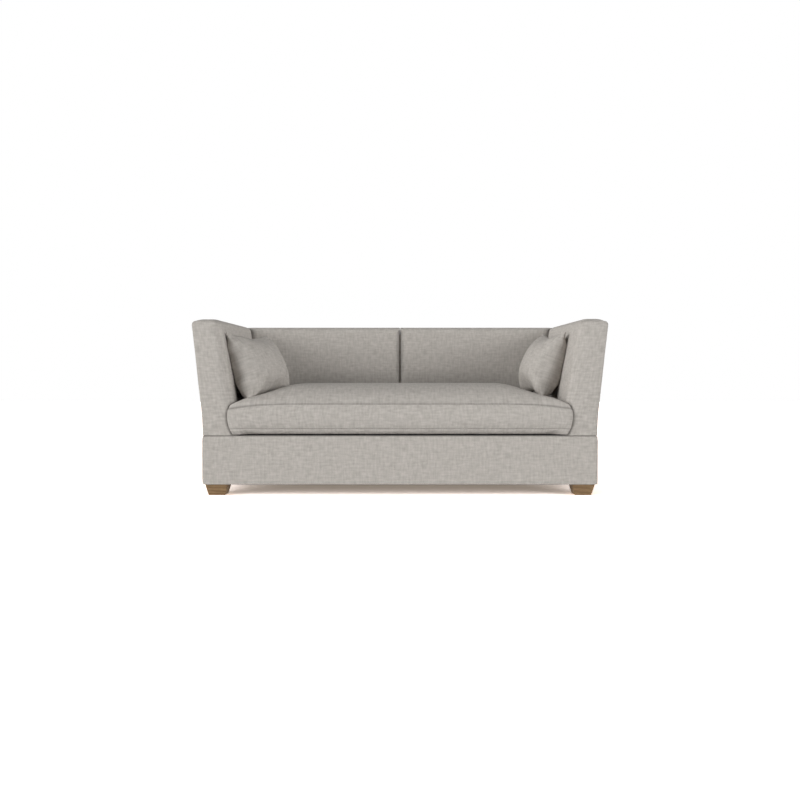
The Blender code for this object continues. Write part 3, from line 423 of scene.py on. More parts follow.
def line_cover(bm, run, thickness, open_top=False):
    """Lays the cloth, takes away the faces that close the cover below, or at both ends, and thickens it."""
    bmesh.ops.recalc_face_normals(bm, faces=bm.faces)
    lay_cloth(bm, run)
    caps = [face for face in bm.faces if len(face.verts) > 8]
    middle = sum(face.calc_center_median().z for face in caps) / len(caps)
    opened = [face for face in caps if open_top or face.calc_center_median().z < middle]
    bmesh.ops.delete(bm, geom=opened, context="FACES_ONLY")
    bmesh.ops.solidify(bm, geom=bm.faces[:], thickness=thickness)


def put_object(name, data):
    made = bpy.data.objects.new(name, data)
    bpy.context.scene.collection.objects.link(made)
    return made


def finish_piece(name, bm, material, body, slot, *nodes, soft_angle=40.0):
    """Makes the object in its place, parents it to what it rides on, and hides the solids it stands for."""
    mesh = bpy.data.meshes.new(name)
    bm.to_mesh(mesh)
    bm.free()
    mesh.materials.append(material)
    mesh.shade_smooth()
    mesh.set_sharp_from_angle(angle=math.radians(soft_angle))
    piece = put_object(name, mesh)
    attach(piece, body)
    if nodes:
        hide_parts(*nodes)
    return piece


base_corners = [(x, y, corner_round, 8) for x, y in ((-half_width, tub_front), (half_width, tub_front),
                                                     (half_width, tub_rear), (-half_width, tub_rear))]
hem_turns = [(base_bottom, 0.012), (base_bottom + 0.0002, 0.006)]
hem_turns += [(base_bottom + hem_round * (1.0 - math.cos(turn)), hem_round * (1.0 - math.sin(turn)))
              for turn in (0.0, 0.4, 0.8, 1.2, math.pi / 2.0)]
seam_turns = [(deck_height - 0.0064, 0.0), (deck_height - 0.0038, 0.0008), (deck_height - 0.0018, 0.0024),
              (deck_height - 0.0005, 0.0048), (deck_height, 0.0076), (deck_height, 0.014)]
rise = deck_height - base_bottom
wall_turns = [(base_bottom + rise * share, 0.0)
              for share in (0.06, 0.12, 0.2, 0.3, 0.4, 0.5, 0.6, 0.7, 0.8, 0.88, 0.95)]
base_stations = [(z, (inset,) * 4) for z, inset in hem_turns + wall_turns + seam_turns]
base_mesh, base_run = draw_cover(base_corners, base_stations, base_cell)
seam_and_painted_shade = base_mesh.verts.layers.float.new("seam_and_painted_shade")
for vert in base_mesh.verts:
    # Painted shade: the linen darkens towards the top seam, under the cushion's edge.
    vert[seam_and_painted_shade] = near(deck_height - vert.co.z, base_seam_shade_width)
    share = ease((vert.co.z - base_bottom) / base_calm) * ease((deck_height - vert.co.z) / base_calm)
    swell = 1.0 + (cloth_ripple(vert.co) + side_padding) * share / half_width
    vert.co.x *= swell
    vert.co.y = (vert.co.y - tub_front - base_depth / 2.0) * swell + tub_front + base_depth / 2.0
line_cover(base_mesh, base_run, base_cloth, open_top=True)
finish_piece("base_wrap", base_mesh, linen_upholstery, "frame", "linen_upholstery",
             "base_front_cover", "base_rear_cover", "base_side_cover_left", "base_side_cover_right")


# Arms: linen over foam on a sawn frame, flaring outwards, one skin from inside over the top to outside.
# The inner front corner is rolled wide, the top is rolled and slightly crowned.
# Each meets the base in a drawn seam and the back in a mitre, where the cloth is pulled in.
tub_height = 0.7783
flare_slope, flare_blend, flare_start = 0.107, 0.050, deck_height + 0.066
arm_lean, back_lean = 0.161, 0.161
seat_half_width, seat_depth = 0.713, 0.694
edge_height, roll_depth = tub_height - 0.006, 0.020
widest_height = edge_height - roll_depth
tub_bottom, tub_seam_depth = deck_height + running_gap, 0.0030
tub_cell, tub_skin, wall_steps, roll_steps = 0.013, 0.0065, 34, 8
sides = (("left", -1.0), ("right", 1.0))


def flare(z):
    """Run of the outside faces at height z: upright, a short bend, then a steady lean."""
    above = z - flare_start
    if above <= -flare_blend:
        return 0.0
    if above >= flare_blend:
        return flare_slope * above
    return flare_slope * (above + flare_blend) ** 2 / (4.0 * flare_blend)


def outer_x(z):
    return half_width + flare(z)


def outer_y(z):
    return tub_rear + flare(z)


def inner_x(z):
    return seat_half_width + arm_lean * (z - deck_height)


def inner_y(z):
    return tub_front + seat_depth + back_lean * (z - deck_height)


def rolled_stations(rolls, crown_runs, crown):
    """Levels of a cover on the tub: seam at the base, wall, rolled top edge and crowned top."""
    rows = [(tub_bottom + climb, (tub_seam_depth * share,) * 4)
            for climb, share in ((0.0, 1.0), (0.0006, 0.45), (0.002, 0.12), (0.0045, 0.0))]
    step = (widest_height - tub_bottom) / wall_steps
    rows += [(tub_bottom + step * index, (0.0,) * 4) for index in range(1, wall_steps)]
    turns = [quarter_turn * step / roll_steps for step in range(roll_steps + 1)]
    rows += [(widest_height + roll_depth * math.sin(turn),
              tuple(roll * (1.0 - math.cos(turn)) for roll in rolls)) for turn in turns]
    rows += [(edge_height + crown * rise_share,
              tuple(roll + run * run_share for roll, run in zip(rolls, crown_runs)))
             for run_share, rise_share in ((0.12, 0.26), (0.28, 0.55), (0.5, 0.82), (0.75, 0.96), (1.0, 1.0))]
    return rows


arm_plan_width, arm_plan_depth = 0.140, 0.770
ear_reach, ear_height, ear_top, ear_shade = 0.7597, deck_height + 0.0945, deck_height + 0.138, 0.018
ear_bend_above, ear_bend_below = 6.4, 2.5
arm_corners = ((0.0, 0.0, 0.040, 14), (arm_plan_width, 0.0, corner_round, 8),
               (arm_plan_width, arm_plan_depth, 0.005, 3), (0.0, arm_plan_depth, 0.013, 6))
arm_rolls = (0.015, 0.020, 0.014, 0.003)
arm_crown_runs = (0.022, 0.042, 0.042, 0.042)
arm_crowns = {"left": 0.0085, "right": 0.0105}
mitre_crown, mitre_gap = 0.0070, 0.0005
arm_seam_shade_width, arm_ripple = 0.060, 0.0011
front_fullness, front_reach = 0.0045, 0.06


def mirrored(place_at, mirror):
    return Vector((place_at.x * mirror, place_at.y, place_at.z))


def arm_place(x, y, z):
    """From the arm's square plan to its place on the flaring, mitred tub."""
    level = min(z, edge_height)
    share = x / arm_plan_width
    placed_x = inner_x(level) + share * (outer_x(level) - inner_x(level))
    rear = inner_y(level) + share * (outer_y(level) - inner_y(level)) - mitre_gap
    placed_y = tub_front + y + (y / arm_plan_depth) ** 2 * (rear - tub_front - arm_plan_depth)
    return Vector((placed_x, placed_y, z))


def ear_at(z):
    """Half width of the cushion's front at height z, where it swells over the arms."""
    return ear_reach - (ear_bend_above if z > ear_height else ear_bend_below) * (z - ear_height) ** 2


def painted_ear_shade(x, z):
    """Painted shade on the arm's front along the edge of the cushion's swollen corner, where the corner
    shadows it.
    """
    edge = ear_at(min(max(z, deck_height), ear_top))
    beyond = math.hypot(max(0.0, x - edge), max(0.0, z - ear_top))
    inside = min(max(0.0, edge - x), max(0.0, ear_top - z))
    return near(beyond + inside, ear_shade)


for side, mirror in sides:
    arm_stations = rolled_stations(arm_rolls, arm_crown_runs, arm_crowns[side])
    arm_mesh, arm_run = draw_cover(arm_corners, arm_stations, tub_cell)
    seam_and_painted_shade = arm_mesh.verts.layers.float.new("seam_and_painted_shade")
    for vert in arm_mesh.verts:
        x, y, z = vert.co
        # Painted shade: the linen darkens towards the mitre with the back, where shade falls in the corner.
        vert[seam_and_painted_shade] = near(arm_plan_depth - y, arm_seam_shade_width)
        placed = arm_place(x, y, z)
        # Painted shade on the front, where the cushion's swollen corner shadows the arm.
        if y < 0.05:
            vert[seam_and_painted_shade] = painted_ear_shade(placed.x, z)
        calm = ease((z - tub_bottom) / 0.03) * ease((arm_plan_depth - y) / 0.05)
        ripple = cloth_ripple(mirrored(placed, mirror), arm_ripple) * calm
        outward = 1.0 if x > arm_plan_width / 2.0 else -1.0
        placed.x += outward * ripple * (0.3 if y < 0.02 else 1.0)
        placed.y -= ripple if y < 0.02 else 0.0
        full = (1.0 - (2.0 * x / arm_plan_width - 1.0) ** 2) * near(y, front_reach)
        placed.y -= front_fullness * full * ease((z - tub_bottom) / 0.05) * ease((edge_height - z) / 0.04)
        if z > edge_height:
            lowered = (1.0 - mitre_crown / arm_crowns[side]) * (y / arm_plan_depth) ** 2
            placed.z -= (z - edge_height) * lowered
        vert.co = mirrored(placed, mirror)
    line_cover(arm_mesh, arm_run, tub_skin)
    arm = finish_piece("arm_upholstery_" + side, arm_mesh, linen_upholstery, "frame", "linen_upholstery",
                       "arm_cover_" + side)


# Back: two tight padded panels over the back frame, drawn into a deep groove between them.
# Linen over foam, leaning back with the tub, rolled over the top and pulled in at the mitres.
# Behind, a plain outside panel is tacked on below the rolled edge.
back_plan_length, back_plan_depth = 0.760, 0.160
back_rolls, back_crown_runs = (0.0006, 0.003, 0.024, 0.016), (0.0015, 0.034, 0.034, 0.034)
groove_gap, groove_opening, groove_round, groove_close = 0.0004, 0.0024, 0.024, 0.030
swell_start, swell_depth = deck_height + 0.230, 0.010
panel_drop, panel_skin = 0.024, 0.008
seat_line, seat_shade = deck_height + 0.205, 0.100
back_seam_shade_width, back_calm, back_ripple = 0.036, 0.05, 0.0014
back_corners = ((0.0, 0.0, groove_round, 12), (back_plan_length, 0.0, 0.016, 8),
                (back_plan_length, back_plan_depth, 0.004, 2), (0.0, back_plan_depth, 0.004, 2))


def back_swell(z):
    share = (z - swell_start) / (widest_height - swell_start)
    return swell_depth * math.sin(math.pi * share) if 0.0 < share < 1.0 else 0.0


def back_place(x, y, z):
    level = min(z, edge_height)
    closed = ease((z - edge_height + groove_close) / groove_close)
    if max(x, y) < groove_round:
        x, y = x * (1.0 - 0.8 * closed), y * (1.0 - 0.8 * closed)
    depth_share = y / back_plan_depth
    end = inner_x(level) + depth_share * (outer_x(level) - inner_x(level)) - mitre_gap - groove_gap
    opening = groove_opening * (1.0 - closed) * (1.0 - x / back_plan_length)
    opening *= max(0.0, 1.0 - 2.0 * depth_share)
    placed_x = groove_gap + opening + x + (x / back_plan_length) ** 2 * (end - back_plan_length)
    placed_y = inner_y(level) + depth_share * (outer_y(level) - inner_y(level))
    across = 2.0 * x / back_plan_length - 1.0
    front_share = max(0.0, 1.0 - 3.0 * depth_share)
    placed_y -= back_swell(z) * (1.0 - across ** 4) * front_share
    return Vector((placed_x, placed_y, z))


panel_top = edge_height - panel_drop
back_stations = rolled_stations(back_rolls, back_crown_runs, mitre_crown)
covered = panel_skin + running_gap
lower = [(z, insets[:3] + (insets[3] + covered,)) for z, insets in back_stations if z < panel_top]
upper = [(z, insets) for z, insets in back_stations if z >= panel_top]
ledge = [(panel_top - 0.0002, lower[-1][1]), (panel_top + 0.0001, (0.0,) * 4)]
for side, mirror in sides:
    back_mesh, back_run = draw_cover(back_corners, lower + ledge + upper, tub_cell)
    seam_and_painted_shade = back_mesh.verts.layers.float.new("seam_and_painted_shade")
    for vert in back_mesh.verts:
        x, y, z = vert.co
        # Painted shade: the panel darkens towards the groove and the mitres.
        vert[seam_and_painted_shade] = near(min(x, back_plan_length - x), back_seam_shade_width)
        # Painted shade: the lower front darkens towards the seat, where shade falls between seat and back.
        if y < back_plan_depth / 2.0:
            vert[seam_and_painted_shade] = max(vert[seam_and_painted_shade], 0.80 - 0.45 * max(0.0, z - seat_line) / seat_shade)
        placed = back_place(x, y, z)
        calm = ease(x / back_calm) * ease((back_plan_length - x) / back_calm) * (1.0 if y < 0.05 else 0.0)
        placed.y -= cloth_ripple(mirrored(placed, mirror), back_ripple) * calm
        vert.co = mirrored(placed, mirror)
    line_cover(back_mesh, back_run, tub_skin)
    back = finish_piece("back_panel_" + side, back_mesh, linen_upholstery, "frame", "linen_upholstery",
                        "back_pad_" + side)

outside_length, outside_cell, outside_steps, outside_ripple = 2.0 * half_width, 0.016, 36, 0.0010
outside_corners = ((0.0, 0.0, 0.001, 1), (outside_length, 0.0, 0.001, 1),
                   (outside_length, panel_skin, 0.0035, 4), (0.0, panel_skin, 0.0035, 4))
outside_rows = [(tub_bottom, 0.004), (tub_bottom + 0.0008, 0.0018), (tub_bottom + 0.003, 0.0)]
outside_step = (panel_top - tub_bottom) / outside_steps
outside_rows += [(tub_bottom + outside_step * index, 0.0) for index in range(1, outside_steps)]
outside_rows += [(panel_top - 0.004, 0.0), (panel_top - 0.0014, 0.0012), (panel_top - 0.0003, 0.0036)]
outside_mesh, outside_run = draw_cover(outside_corners,
                                       [(z, (0.0, 0.0, 0.0, inset)) for z, inset in outside_rows],
                                       outside_cell)
for vert in outside_mesh.verts:
    x, y, z = vert.co
    depth = outer_y(z) - panel_skin + y
    depth_share = (depth - inner_y(z)) / (outer_y(z) - inner_y(z))
    reach = inner_x(z) + depth_share * (outer_x(z) - inner_x(z)) - 2.0 * mitre_gap
    placed = Vector(((2.0 * x / outside_length - 1.0) * reach, depth, z))
    placed.y += cloth_ripple(placed, outside_ripple) * (1.0 if y > panel_skin / 2.0 else 0.0)
    vert.co = placed
lay_cloth(outside_mesh, outside_run)
finish_piece("outside_back_panel", outside_mesh, linen_upholstery, "frame", "linen_upholstery",
             "outside_back_cover")


# Bench cushion: one loose cushion with a crowned top and a boxed border between two seams.
# Foam wrapped in down and fibre in a sewn linen case; the front corners swell over the arms' rolled corners.
# The case is pinned at its seams while the cloth is simulated under the pressure of the filling.
side_gap, ear_gap, ear_loosened = 0.0008, 0.0070, 0.3
tip_run, tip_front_share, least_tip, tip_drawn = 0.022, 0.32, 0.005, 0.10
ear_kept, ear_fade = 0.65, 0.040
border_height, bottom_seam, seam_pinch = 0.1400, 0.031, 0.0036
border_skin, border_swell = 0.014, 0.004
cushion_crown, crown_power = 0.078, 3.4
crown_end_start, crown_end_run = 0.048, 0.232
edge_puff, puff_reach, end_puff_reach = 0.034, 0.090, 0.056
steep_power, gentle_power, gentle_start, gentle_run = 3, 2.4, 0.05, 0.20
edge_roll, edge_roll_power, edge_lift = 0.030, 1.6, 0.0060
end_drop, end_drop_length, end_drop_power = 0.0255, 0.31, 2.3
arm_roll, cushion_corner = 0.040, 0.032
cushion_cells, rim_steps, roll_cuts = (112, 58), 8, 10
linen_cushion = linen_material("linen_cushion", linen_light, linen_dark)


def top_seam(x):
    """Height of the cushion's top sewn edge, which sinks towards its ends."""
    share = max(0.0, (abs(x) - (ear_reach - end_drop_length)) / end_drop_length)
    return deck_height + border_height - end_drop * share ** end_drop_power


def crown_rise(x, across, from_seam):
    """Rise of the cushion's top over the stitching of its top: a puffed edge all round, then a long low
    crown.
    """
    from_end = inner_x(deck_height + border_height) - side_gap - x
    swell = ease((from_end - crown_end_start) / crown_end_run) * (1.0 - min(1.0, across) ** crown_power)
    steep = math.sqrt(1.0 - near(from_seam, end_puff_reach) ** steep_power)
    gentle = 1.0 - near(from_seam, puff_reach) ** gentle_power
    puff = steep + (gentle - steep) * ease((from_end - gentle_start) / gentle_run)
    return edge_puff * puff + (cushion_crown - edge_puff) * swell


def point_on(points, share):
    """Place at a share of the length of a line of points."""
    spans = [(after - before).length for before, after in zip(points, points[1:])]
    wanted = share * sum(spans)
    for before, after, span in zip(points, points[1:], spans):
        if wanted <= span and span > 0.0:
            return before.lerp(after, wanted / span)
        wanted -= span
    return points[-1].copy()


def cushion_plan(z, drawn, front_swell):
    """Right half of the cushion's outline at height z, in three lines: front, side and rear."""
    front_y = tub_front - running_gap - border_skin - front_swell + drawn
    ear_y = front_y - ear_kept * drawn
    roll_x, roll_y = inner_x(z) + arm_roll, tub_front + arm_roll
    clear = arm_roll + ear_gap + ear_loosened * drawn
    tip_x = ear_at(z) - tip_drawn * drawn
    slip = math.asin(max(-0.9, min(0.9, (roll_x - tip_x + tip_run) / clear)))
    slip = max(slip, math.acos(max(-1.0, min(1.0, (roll_y - ear_y - least_tip) / clear))))
    run = tip_x - roll_x + clear * math.sin(slip)
    meet_y = roll_y - clear * math.cos(slip)
    tip_front = tip_front_share * (meet_y - ear_y)
    tip_rear = meet_y - ear_y - tip_front
    turns = [math.radians(15.0 * step) for step in range(7)]
    front = [Vector((0.0, front_y)), Vector((tip_x - run - ear_fade, front_y))]
    front += [Vector((tip_x - run + run * math.sin(turn), ear_y + tip_front * (1.0 - math.cos(turn))))
              for turn in turns]
    side = [Vector((tip_x - run + run * math.cos(turn), ear_y + tip_front + tip_rear * math.sin(turn)))
            for turn in turns]
    rolled = [slip + (quarter_turn - slip) * step / roll_cuts for step in range(1, roll_cuts + 1)]
    side += [Vector((roll_x - clear * math.sin(turn), roll_y - clear * math.cos(turn))) for turn in rolled]
    corner_x = inner_x(z) - side_gap - drawn - cushion_corner
    corner_y = inner_y(z) - side_gap - drawn - cushion_corner
    corner = [Vector((corner_x + cushion_corner * math.cos(turn), corner_y + cushion_corner * math.sin(turn)))
              for turn in turns]
    return front, side + corner[:4], corner[3:] + [Vector((0.0, inner_y(z) - side_gap - drawn))]


def crowd(value, strength=0.55):
    """Moves even grid lines closer together near the edges."""
    return value * (1.0 - strength) + strength * math.sin(value * math.pi / 2.0)


border_shares = ((1.0, seam_pinch), (0.982, 0.0007), (0.94, 0.0), (0.84, 0.0), (0.70, 0.0), (0.50, 0.0),
                 (0.30, 0.0), (0.16, 0.0), (0.07, 0.0), (0.018, 0.0007), (0.0, seam_pinch))
cushion_rows = [("border", share, pinch, border_swell * math.sin(math.pi * share) ** 0.6)
                for share, pinch in border_shares]
cushion_rows += [("under", share, edge_roll * (1.0 - share) ** edge_roll_power, 0.0)
                 for share in (0.88, 0.72, 0.52, 0.34, 0.18, 0.06, 0.0)]
middle_row, low_seam_row, bottom_row = 5, len(border_shares) - 1, len(cushion_rows) - 1
# Pucker and painted shade along the seams, for the rows at and next to each seam.
seam_pucker_and_shade = {0: 1.0, 1: 0.5, low_seam_row - 1: 0.5, low_seam_row: 1.0, low_seam_row + 1: 0.3}


def grid_place(i, j):
    return crowd(2.0 * i / cushion_cells[0] - 1.0), crowd(2.0 * j / cushion_cells[1] - 1.0)


def cushion_edge(i, j, level):
    """Place of a rim point of the cushion's grid at one row of its sides."""
    a, b = grid_place(i, j)
    line, share = ((0, abs(a)) if j == 0 else (2, 1.0 - abs(a)) if j == cushion_cells[1]
                   else (1, (b + 1.0) / 2.0))
    part, height_share, drawn, swell = cushion_rows[level]
    x = seat_half_width * (abs(a) if line != 1 else 1.0)
    seam_z = deck_height + running_gap + bottom_seam
    for _ in range(3):
        z = (seam_z + (top_seam(x) - seam_z) * height_share if part == "border"
             else deck_height + edge_lift + (bottom_seam + running_gap - edge_lift) * height_share)
        point = point_on(cushion_plan(z, drawn, swell)[line], share)
        x = point.x
    return Vector((math.copysign(point.x, a), point.y, z))


def between_edges(i, j, ring):
    """Fills the inside of a grid smoothly from the places of its rim."""
    columns, rows = cushion_cells
    u, v = ((value + 1.0) / 2.0 for value in grid_place(i, j))
    across = ring[i, 0] * (1.0 - v) + ring[i, rows] * v
    along = ring[0, j] * (1.0 - u) + ring[columns, j] * u
    low = ring[0, 0] * (1.0 - u) + ring[columns, 0] * u
    high = ring[0, rows] * (1.0 - u) + ring[columns, rows] * u
    return across + along - (low * (1.0 - v) + high * v)


def make_cushion_mesh():
    """The sewn case: top, underside and four strips of border, joined at their rims and then shaped."""
    columns, rows = cushion_cells
    bm = bmesh.new()
    for level in (0.0, -1.0):
        bmesh.ops.create_grid(bm, x_segments=columns, y_segments=rows, size=1.0,
                              matrix=Matrix.Translation((0.0, 0.0, level)))
    strip = (Matrix.Translation((0.0, -1.0, -0.5)) @ Matrix.Rotation(quarter_turn, 4, "X")
             @ Matrix.Diagonal((1.0, 0.5, 1.0, 1.0)))
    for turns in range(4):
        bmesh.ops.create_grid(bm, x_segments=cushion_cells[turns % 2], y_segments=bottom_row, size=1.0,
                              matrix=Matrix.Rotation(quarter_turn * turns, 4, "Z") @ strip)
    bmesh.ops.remove_doubles(bm, verts=bm.verts, dist=1e-4)
    top_cut = bm.faces.layers.int.new("top_cut")
    loop = ([(i, 0) for i in range(columns)] + [(columns, j) for j in range(rows)]
            + [(i, rows) for i in range(columns, 0, -1)] + [(0, j) for j in range(rows, 0, -1)])
    rings = [{spot: cushion_edge(*spot, level) for spot in loop} for level in range(bottom_row + 1)]
    rim_tree = kdtree.KDTree(rim_steps * len(loop))
    lengths, run = {}, 0.0
    for index, (here, after) in enumerate(zip(loop, loop[1:] + loop[:1])):
        for step in range(rim_steps):
            rim_tree.insert(rings[0][here].lerp(rings[0][after], step / rim_steps), rim_steps * index + step)
        lengths[here] = run
        run += (rings[middle_row][after] - rings[middle_row][here]).length
    rim_tree.balance()
    around = bm.verts.layers.float.new("around")
    up = bm.verts.layers.float.new("up")
    seam_and_painted_shade = bm.verts.layers.float.new("seam_and_painted_shade")
    sewn = bm.verts.layers.int.new("sewn")
    for face in bm.faces:
        face[top_cut] = 1 if min(vert.co.z for vert in face.verts) > -0.001 else 0
    for vert in bm.verts:
        i = int(round((vert.co.x + 1.0) / 2.0 * columns))
        j = int(round((vert.co.y + 1.0) / 2.0 * rows))
        level = int(round(-vert.co.z * bottom_row))
        if (i, j) in lengths:
            vert.co = rings[level][i, j]
            vert[around] = lengths[i, j]
            vert[seam_and_painted_shade] = seam_pucker_and_shade.get(level, 0.0)
            vert[sewn] = 1 if level in (0, low_seam_row, bottom_row) else 0
        elif level == 0:
            vert.co = between_edges(i, j, rings[0])
            front, rear = rings[0][i, 0].y, rings[0][i, rows].y
            across = abs(2.0 * vert.co.y - front - rear) / (rear - front)
            vert.co.z += crown_rise(abs(vert.co.x), across, rim_tree.find(vert.co)[2])
        else:
            vert.co = between_edges(i, j, rings[bottom_row])
            vert[sewn] = 1
        vert[up] = vert.co.z
    face_outwards(bm)
    lay_cloth(bm, run)
    return bm


cloth_bending = 0.4


def settle_cloth(piece, pressure, most, surplus, stiffness, frames=20):
    """Simulates the filling's pressure in a sewn case, and moves each point by that, up to a limit."""
    mesh = piece.data
    start = [vert.co.copy() for vert in mesh.vertices]
    pinned = [vert.index for vert in mesh.vertices if mesh.attributes["sewn"].data[vert.index].value]
    group = piece.vertex_groups.new(name="sewn")
    group.add(pinned, 1.0, "REPLACE")
    cloth = piece.modifiers.new("filling", "CLOTH")
    settings = cloth.settings
    settings.vertex_group_mass = "sewn"
    settings.use_pressure = True
    settings.uniform_pressure_force = pressure
    settings.effector_weights.gravity = 0.0
    settings.tension_stiffness = settings.compression_stiffness = stiffness
    settings.bending_stiffness = cloth_bending
    settings.shrink_min = -surplus
    cloth.collision_settings.use_collision = False
    scene = bpy.context.scene
    for step in range(1, frames + 1):
        scene.frame_set(step)
    solved = piece.evaluated_get(bpy.context.evaluated_depsgraph_get()).data
    moved = [vert.co.copy() for vert in solved.vertices]
    piece.modifiers.remove(cloth)
    scene.frame_set(1)
    for vert, old, new in zip(mesh.vertices, start, moved):
        shift = new - old
        if shift.length > 1e-9:
            shift *= most * math.tanh(shift.length / most) / shift.length
        vert.co = old + shift
    mesh.update()


def soften(piece):
    smooth = piece.modifiers.new("smooth", "SUBSURF")
    smooth.levels = smooth.render_levels = 1
    smooth.boundary_smooth = "ALL"


cushion = finish_piece("bench_cushion", make_cushion_mesh(), linen_cushion, "cushion", "linen_cushion",
                       "seat_cushion", "cushion_front_border", soft_angle=180.0)
settle_cloth(cushion, pressure=4.0, most=0.005, surplus=0.006, stiffness=12.0)
soften(cushion)


# Throw pillows: two knife-edged linen cases filled with feather and fibre, loose on the seat.
# Each case is two flat cuts sewn round the edge, drawn in between its corners.
# The cloth is simulated under the filling's pressure, then the pillow is set against arm, back and seat.
pillow_length, pillow_height, pillow_thickness = 0.466, 0.318, 0.184
length_draw, height_draw = 0.050, 0.130
pillow_cells, pillow_crowding = (64, 44), 0.75
corner_fold, fold_turn, fold_place, fold_width = 0.0036, 11.0, 0.060, 0.040
filling_sag, filling_power, sewn_edge, sewn_shade = 0.20, 0.42, 0.0015, 0.55
pillow_clearance, seat_press, press_share = 0.0015, 0.040, 0.75
linen_pillow = linen_material("linen_pillow", linen_light, linen_dark)


def make_pillow_mesh(flatness):
    """Sewn case before it fills: two cuts joined round the rim, swollen a little."""
    columns, rows = pillow_cells
    bm = bmesh.new()
    seam_and_painted_shade = bm.verts.layers.float.new("seam_and_painted_shade")
    sewn = bm.verts.layers.int.new("sewn")
    around = bm.verts.layers.float.new("around")
    up = bm.verts.layers.float.new("up")
    for face in (1.0, -1.0):
        made = bmesh.ops.create_grid(bm, x_segments=columns, y_segments=rows, size=1.0)
        for vert in made["verts"]:
            a, b = crowd(vert.co.x, pillow_crowding), crowd(vert.co.y, pillow_crowding)
            rim = max(abs(vert.co.x), abs(vert.co.y)) > 1.0 - 1e-6
            full = max(0.0, (1.0 - a * a) * (1.0 - b * b)) ** filling_power * (1.0 - filling_sag * b)
            in_x, in_z = pillow_length / 2.0 * (1.0 - abs(a)), pillow_height / 2.0 * (1.0 - abs(b))
            folds = math.sin(fold_turn * math.atan2(in_z, in_x) + 2.0 * face + 3.0 * a)
            folds *= corner_fold * math.exp(-((math.hypot(in_x, in_z) - fold_place) / fold_width) ** 2)
            puffed = sewn_edge + flatness * pillow_thickness / 2.0 * full + folds
            vert.co = Vector((pillow_length / 2.0 * a * (1.0 - length_draw * (1.0 - b * b)),
                              0.0 if rim else face * puffed,
                              pillow_height / 2.0 * b * (1.0 - height_draw * (1.0 - a * a))))
            # Painted shade along the sewn rim.
            vert[seam_and_painted_shade] = sewn_shade if rim else 0.0
            vert[sewn] = 1 if rim else 0
            vert[around] = vert.co.x + 2.0 * face
            vert[up] = vert.co.z
    bmesh.ops.remove_doubles(bm, verts=bm.verts, dist=0.0008)
    face_outwards(bm)
    cut = bm.loops.layers.uv.new("cut")
    for face in bm.faces:
        for loop in face.loops:
            loop[cut].uv = (loop.vert.co.x, loop.vert.co.z)
    return bm


def seat_crest(x, y):
    """Height of the cushion's crowned top at a place in plan."""
    half, rear = inner_x(deck_height + border_height), inner_y(deck_height + border_height)
    middle = (tub_front + rear) / 2.0
    from_end = max(0.0, half - side_gap - abs(x))
    from_edge = max(0.0, rear - middle - abs(y - middle))
    return top_seam(x) + crown_rise(abs(x), 1.0 - from_edge / (rear - middle), min(from_end, from_edge))


def round_seams(piece, passes):
    """The filling rounds the sewn edge; the corners stay pointed."""
    bm = bmesh.new()
    bm.from_mesh(piece.data)
    filled = [vert for vert in bm.verts
              if abs(vert.co.x) < 0.44 * pillow_length or abs(vert.co.z) < 0.42 * pillow_height]
    for _ in range(passes):
        bmesh.ops.smooth_vert(bm, verts=filled, factor=0.5, use_axis_x=True, use_axis_y=True, use_axis_z=True)
    bm.to_mesh(piece.data)
    bm.free()


def set_pillow(piece, place_at, turn):
    """Turns the pillow into its corner and flattens it where it lies on arm, back and seat."""
    yaw, roll, lean = (math.radians(angle) for angle in turn)
    turned = (Matrix.Translation(place_at) @ Matrix.Rotation(yaw, 4, "Z") @ Matrix.Rotation(roll, 4, "Y")
              @ Matrix.Rotation(lean, 4, "X"))
    piece.data.transform(turned)
    for vert in piece.data.vertices:
        point = vert.co
        side = math.copysign(1.0, point.x)
        for _ in range(3):
            point.x = side * min(abs(point.x), inner_x(point.z) - pillow_clearance)
            point.y = min(point.y, inner_y(point.z) - back_swell(point.z) - pillow_clearance)
            point.z = max(point.z, seat_crest(point.x, point.y) + pillow_clearance)
        gap = point.z - seat_crest(point.x, point.y) - pillow_clearance
        if gap < seat_press:
            point.z -= press_share * gap * (1.0 - gap / seat_press)
    piece.data.update()


for side, place_at, turn in (("left", (-0.6700, -0.1590, 0.5768), (76.9, -0.5, -20.4)),
                             ("right", (0.7033, -0.0202, 0.5853), (92.5, -0.9, 19.6))):
    pillow = finish_piece("pillow_case_" + side, make_pillow_mesh(0.8), linen_pillow,
                          "throw_pillow_" + side, "linen_pillow", "pillow_" + side, soft_angle=180.0)
    settle_cloth(pillow, pressure=4.0, most=0.022, surplus=0.05, stiffness=10.0)
    round_seams(pillow, 6)
    set_pillow(pillow, Vector(place_at), turn)
    soften(pillow)


# Studio: a white floor that keeps the sofa's shadow, and soft light from walls that glow.
# Two strong glows stand low at the front left and right, so that light comes in along the seat.
# The camera stands 3.6 m in front of the arms, a little above the seat.
def emptied_tree(block):
    block.use_nodes = True
    block.node_tree.nodes.clear()
    return block.node_tree


def seen_directly(tree):
    """1 for rays that come from the camera, from a shine or through glass."""
    rays = place(tree, "LightPath", {}).outputs
    return sums(tree, "MAXIMUM", rays["Is Camera Ray"],
                sums(tree, "MAXIMUM", rays["Is Glossy Ray"], rays["Is Transmission Ray"]))


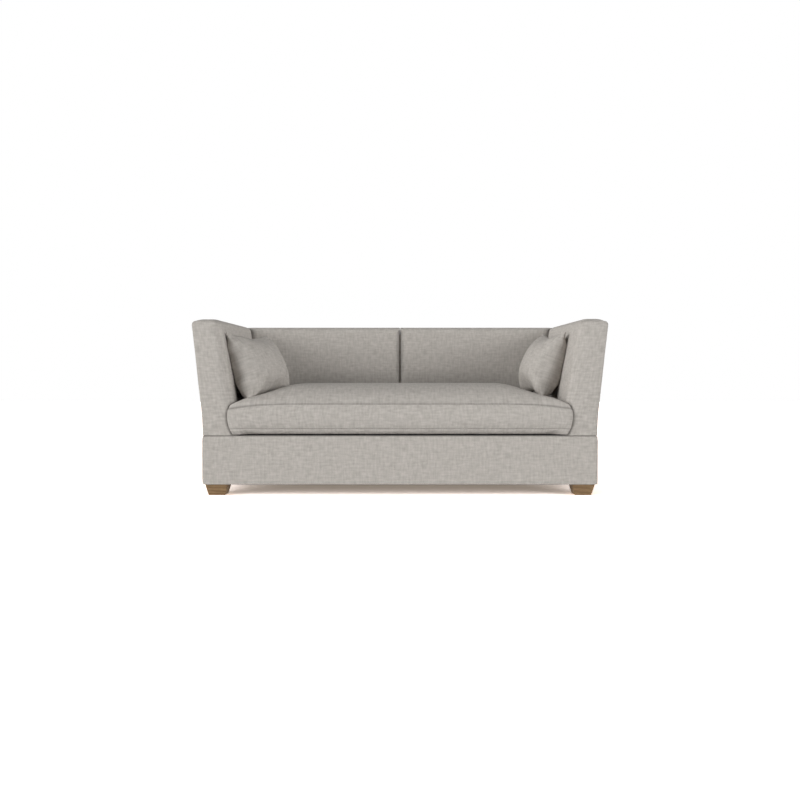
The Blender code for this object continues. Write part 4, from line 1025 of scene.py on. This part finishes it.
def studio_floor():
    bm = bmesh.new()
    bmesh.ops.create_grid(bm, x_segments=1, y_segments=1, size=9.0)
    mesh = bpy.data.meshes.new("studio_floor")
    bm.to_mesh(mesh)
    bm.free()
    floor = put_object("studio_floor", mesh)
    material = bpy.data.materials.new("white_floor")
    tree = emptied_tree(material)
    matt = place(tree, "BsdfDiffuse", {"Color": (0.90, 0.90, 0.90, 1.0)}).outputs[0]
    shown = place(tree, "BsdfDiffuse", {"Color": (3.1, 2.75, 2.6, 1.0)}).outputs[0]
    lifted = place(tree, "Emission", {"Color": (1.0, 0.83, 0.66, 1.0), "Strength": 0.20}).outputs[0]
    bright = place(tree, "AddShader", {0: shown, 1: lifted}).outputs[0]
    mixed = place(tree, "MixShader", {0: seen_directly(tree), 1: matt, 2: bright}).outputs[0]
    place(tree, "OutputMaterial", {"Surface": mixed})
    mesh.materials.append(material)


# Azimuth from the front, elevation, width in degrees, and strength of each glow in the studio's walls
soft_boxes = ((-58.6, 12.9, 18.4, 10.2), (54.0, 10.9, 14.9, 11.0), (-132.0, 14.0, 29.0, 1.40),
              (132.0, 14.0, 29.0, 1.15))


def fall_off(tree, angle, width):
    """Bell-shaped fall of light with the angle from its middle."""
    share = sums(tree, "DIVIDE", angle, math.radians(width))
    return sums(tree, "EXPONENT", times(tree, times(tree, share, share), -1.0))


def studio_light():
    world = bpy.data.worlds.new("studio")
    bpy.context.scene.world = world
    tree = emptied_tree(world)
    direction = place(tree, "TexCoord", {}).outputs["Generated"]
    level = 0.0
    for azimuth, elevation, width, strength in soft_boxes:
        around, above = math.radians(azimuth), math.radians(elevation)
        centre = (math.cos(above) * math.sin(around), -math.cos(above) * math.cos(around), math.sin(above))
        cosine = place(tree, "VectorMath", {0: direction, 1: centre}, operation="DOT_PRODUCT").outputs[1]
        glow = fall_off(tree, sums(tree, "ARCCOSINE", cosine), width)
        level = times_plus(tree, glow, strength, level)
    soft, white = (place(tree, "Background", {"Color": (1.0, 1.0, 1.0, 1.0), "Strength": strength}).outputs[0]
                   for strength in (level, 1.0))
    mixed = place(tree, "MixShader", {0: seen_directly(tree), 1: soft, 2: white}).outputs[0]
    place(tree, "OutputWorld", {"Surface": mixed})


studio_floor()
studio_light()
bpy.context.scene.view_settings.view_transform = "Standard"
lens = bpy.data.cameras.new("camera")
lens.sensor_width, lens.lens, lens.shift_y = 36.0, 36.86, -0.0211
camera = put_object("camera", lens)
camera.location = Vector((0.0, -4.04, 0.5733))
camera.rotation_euler = (math.radians(90.0 - 1.20), 0.0, 0.0)
bpy.context.scene.camera = camera
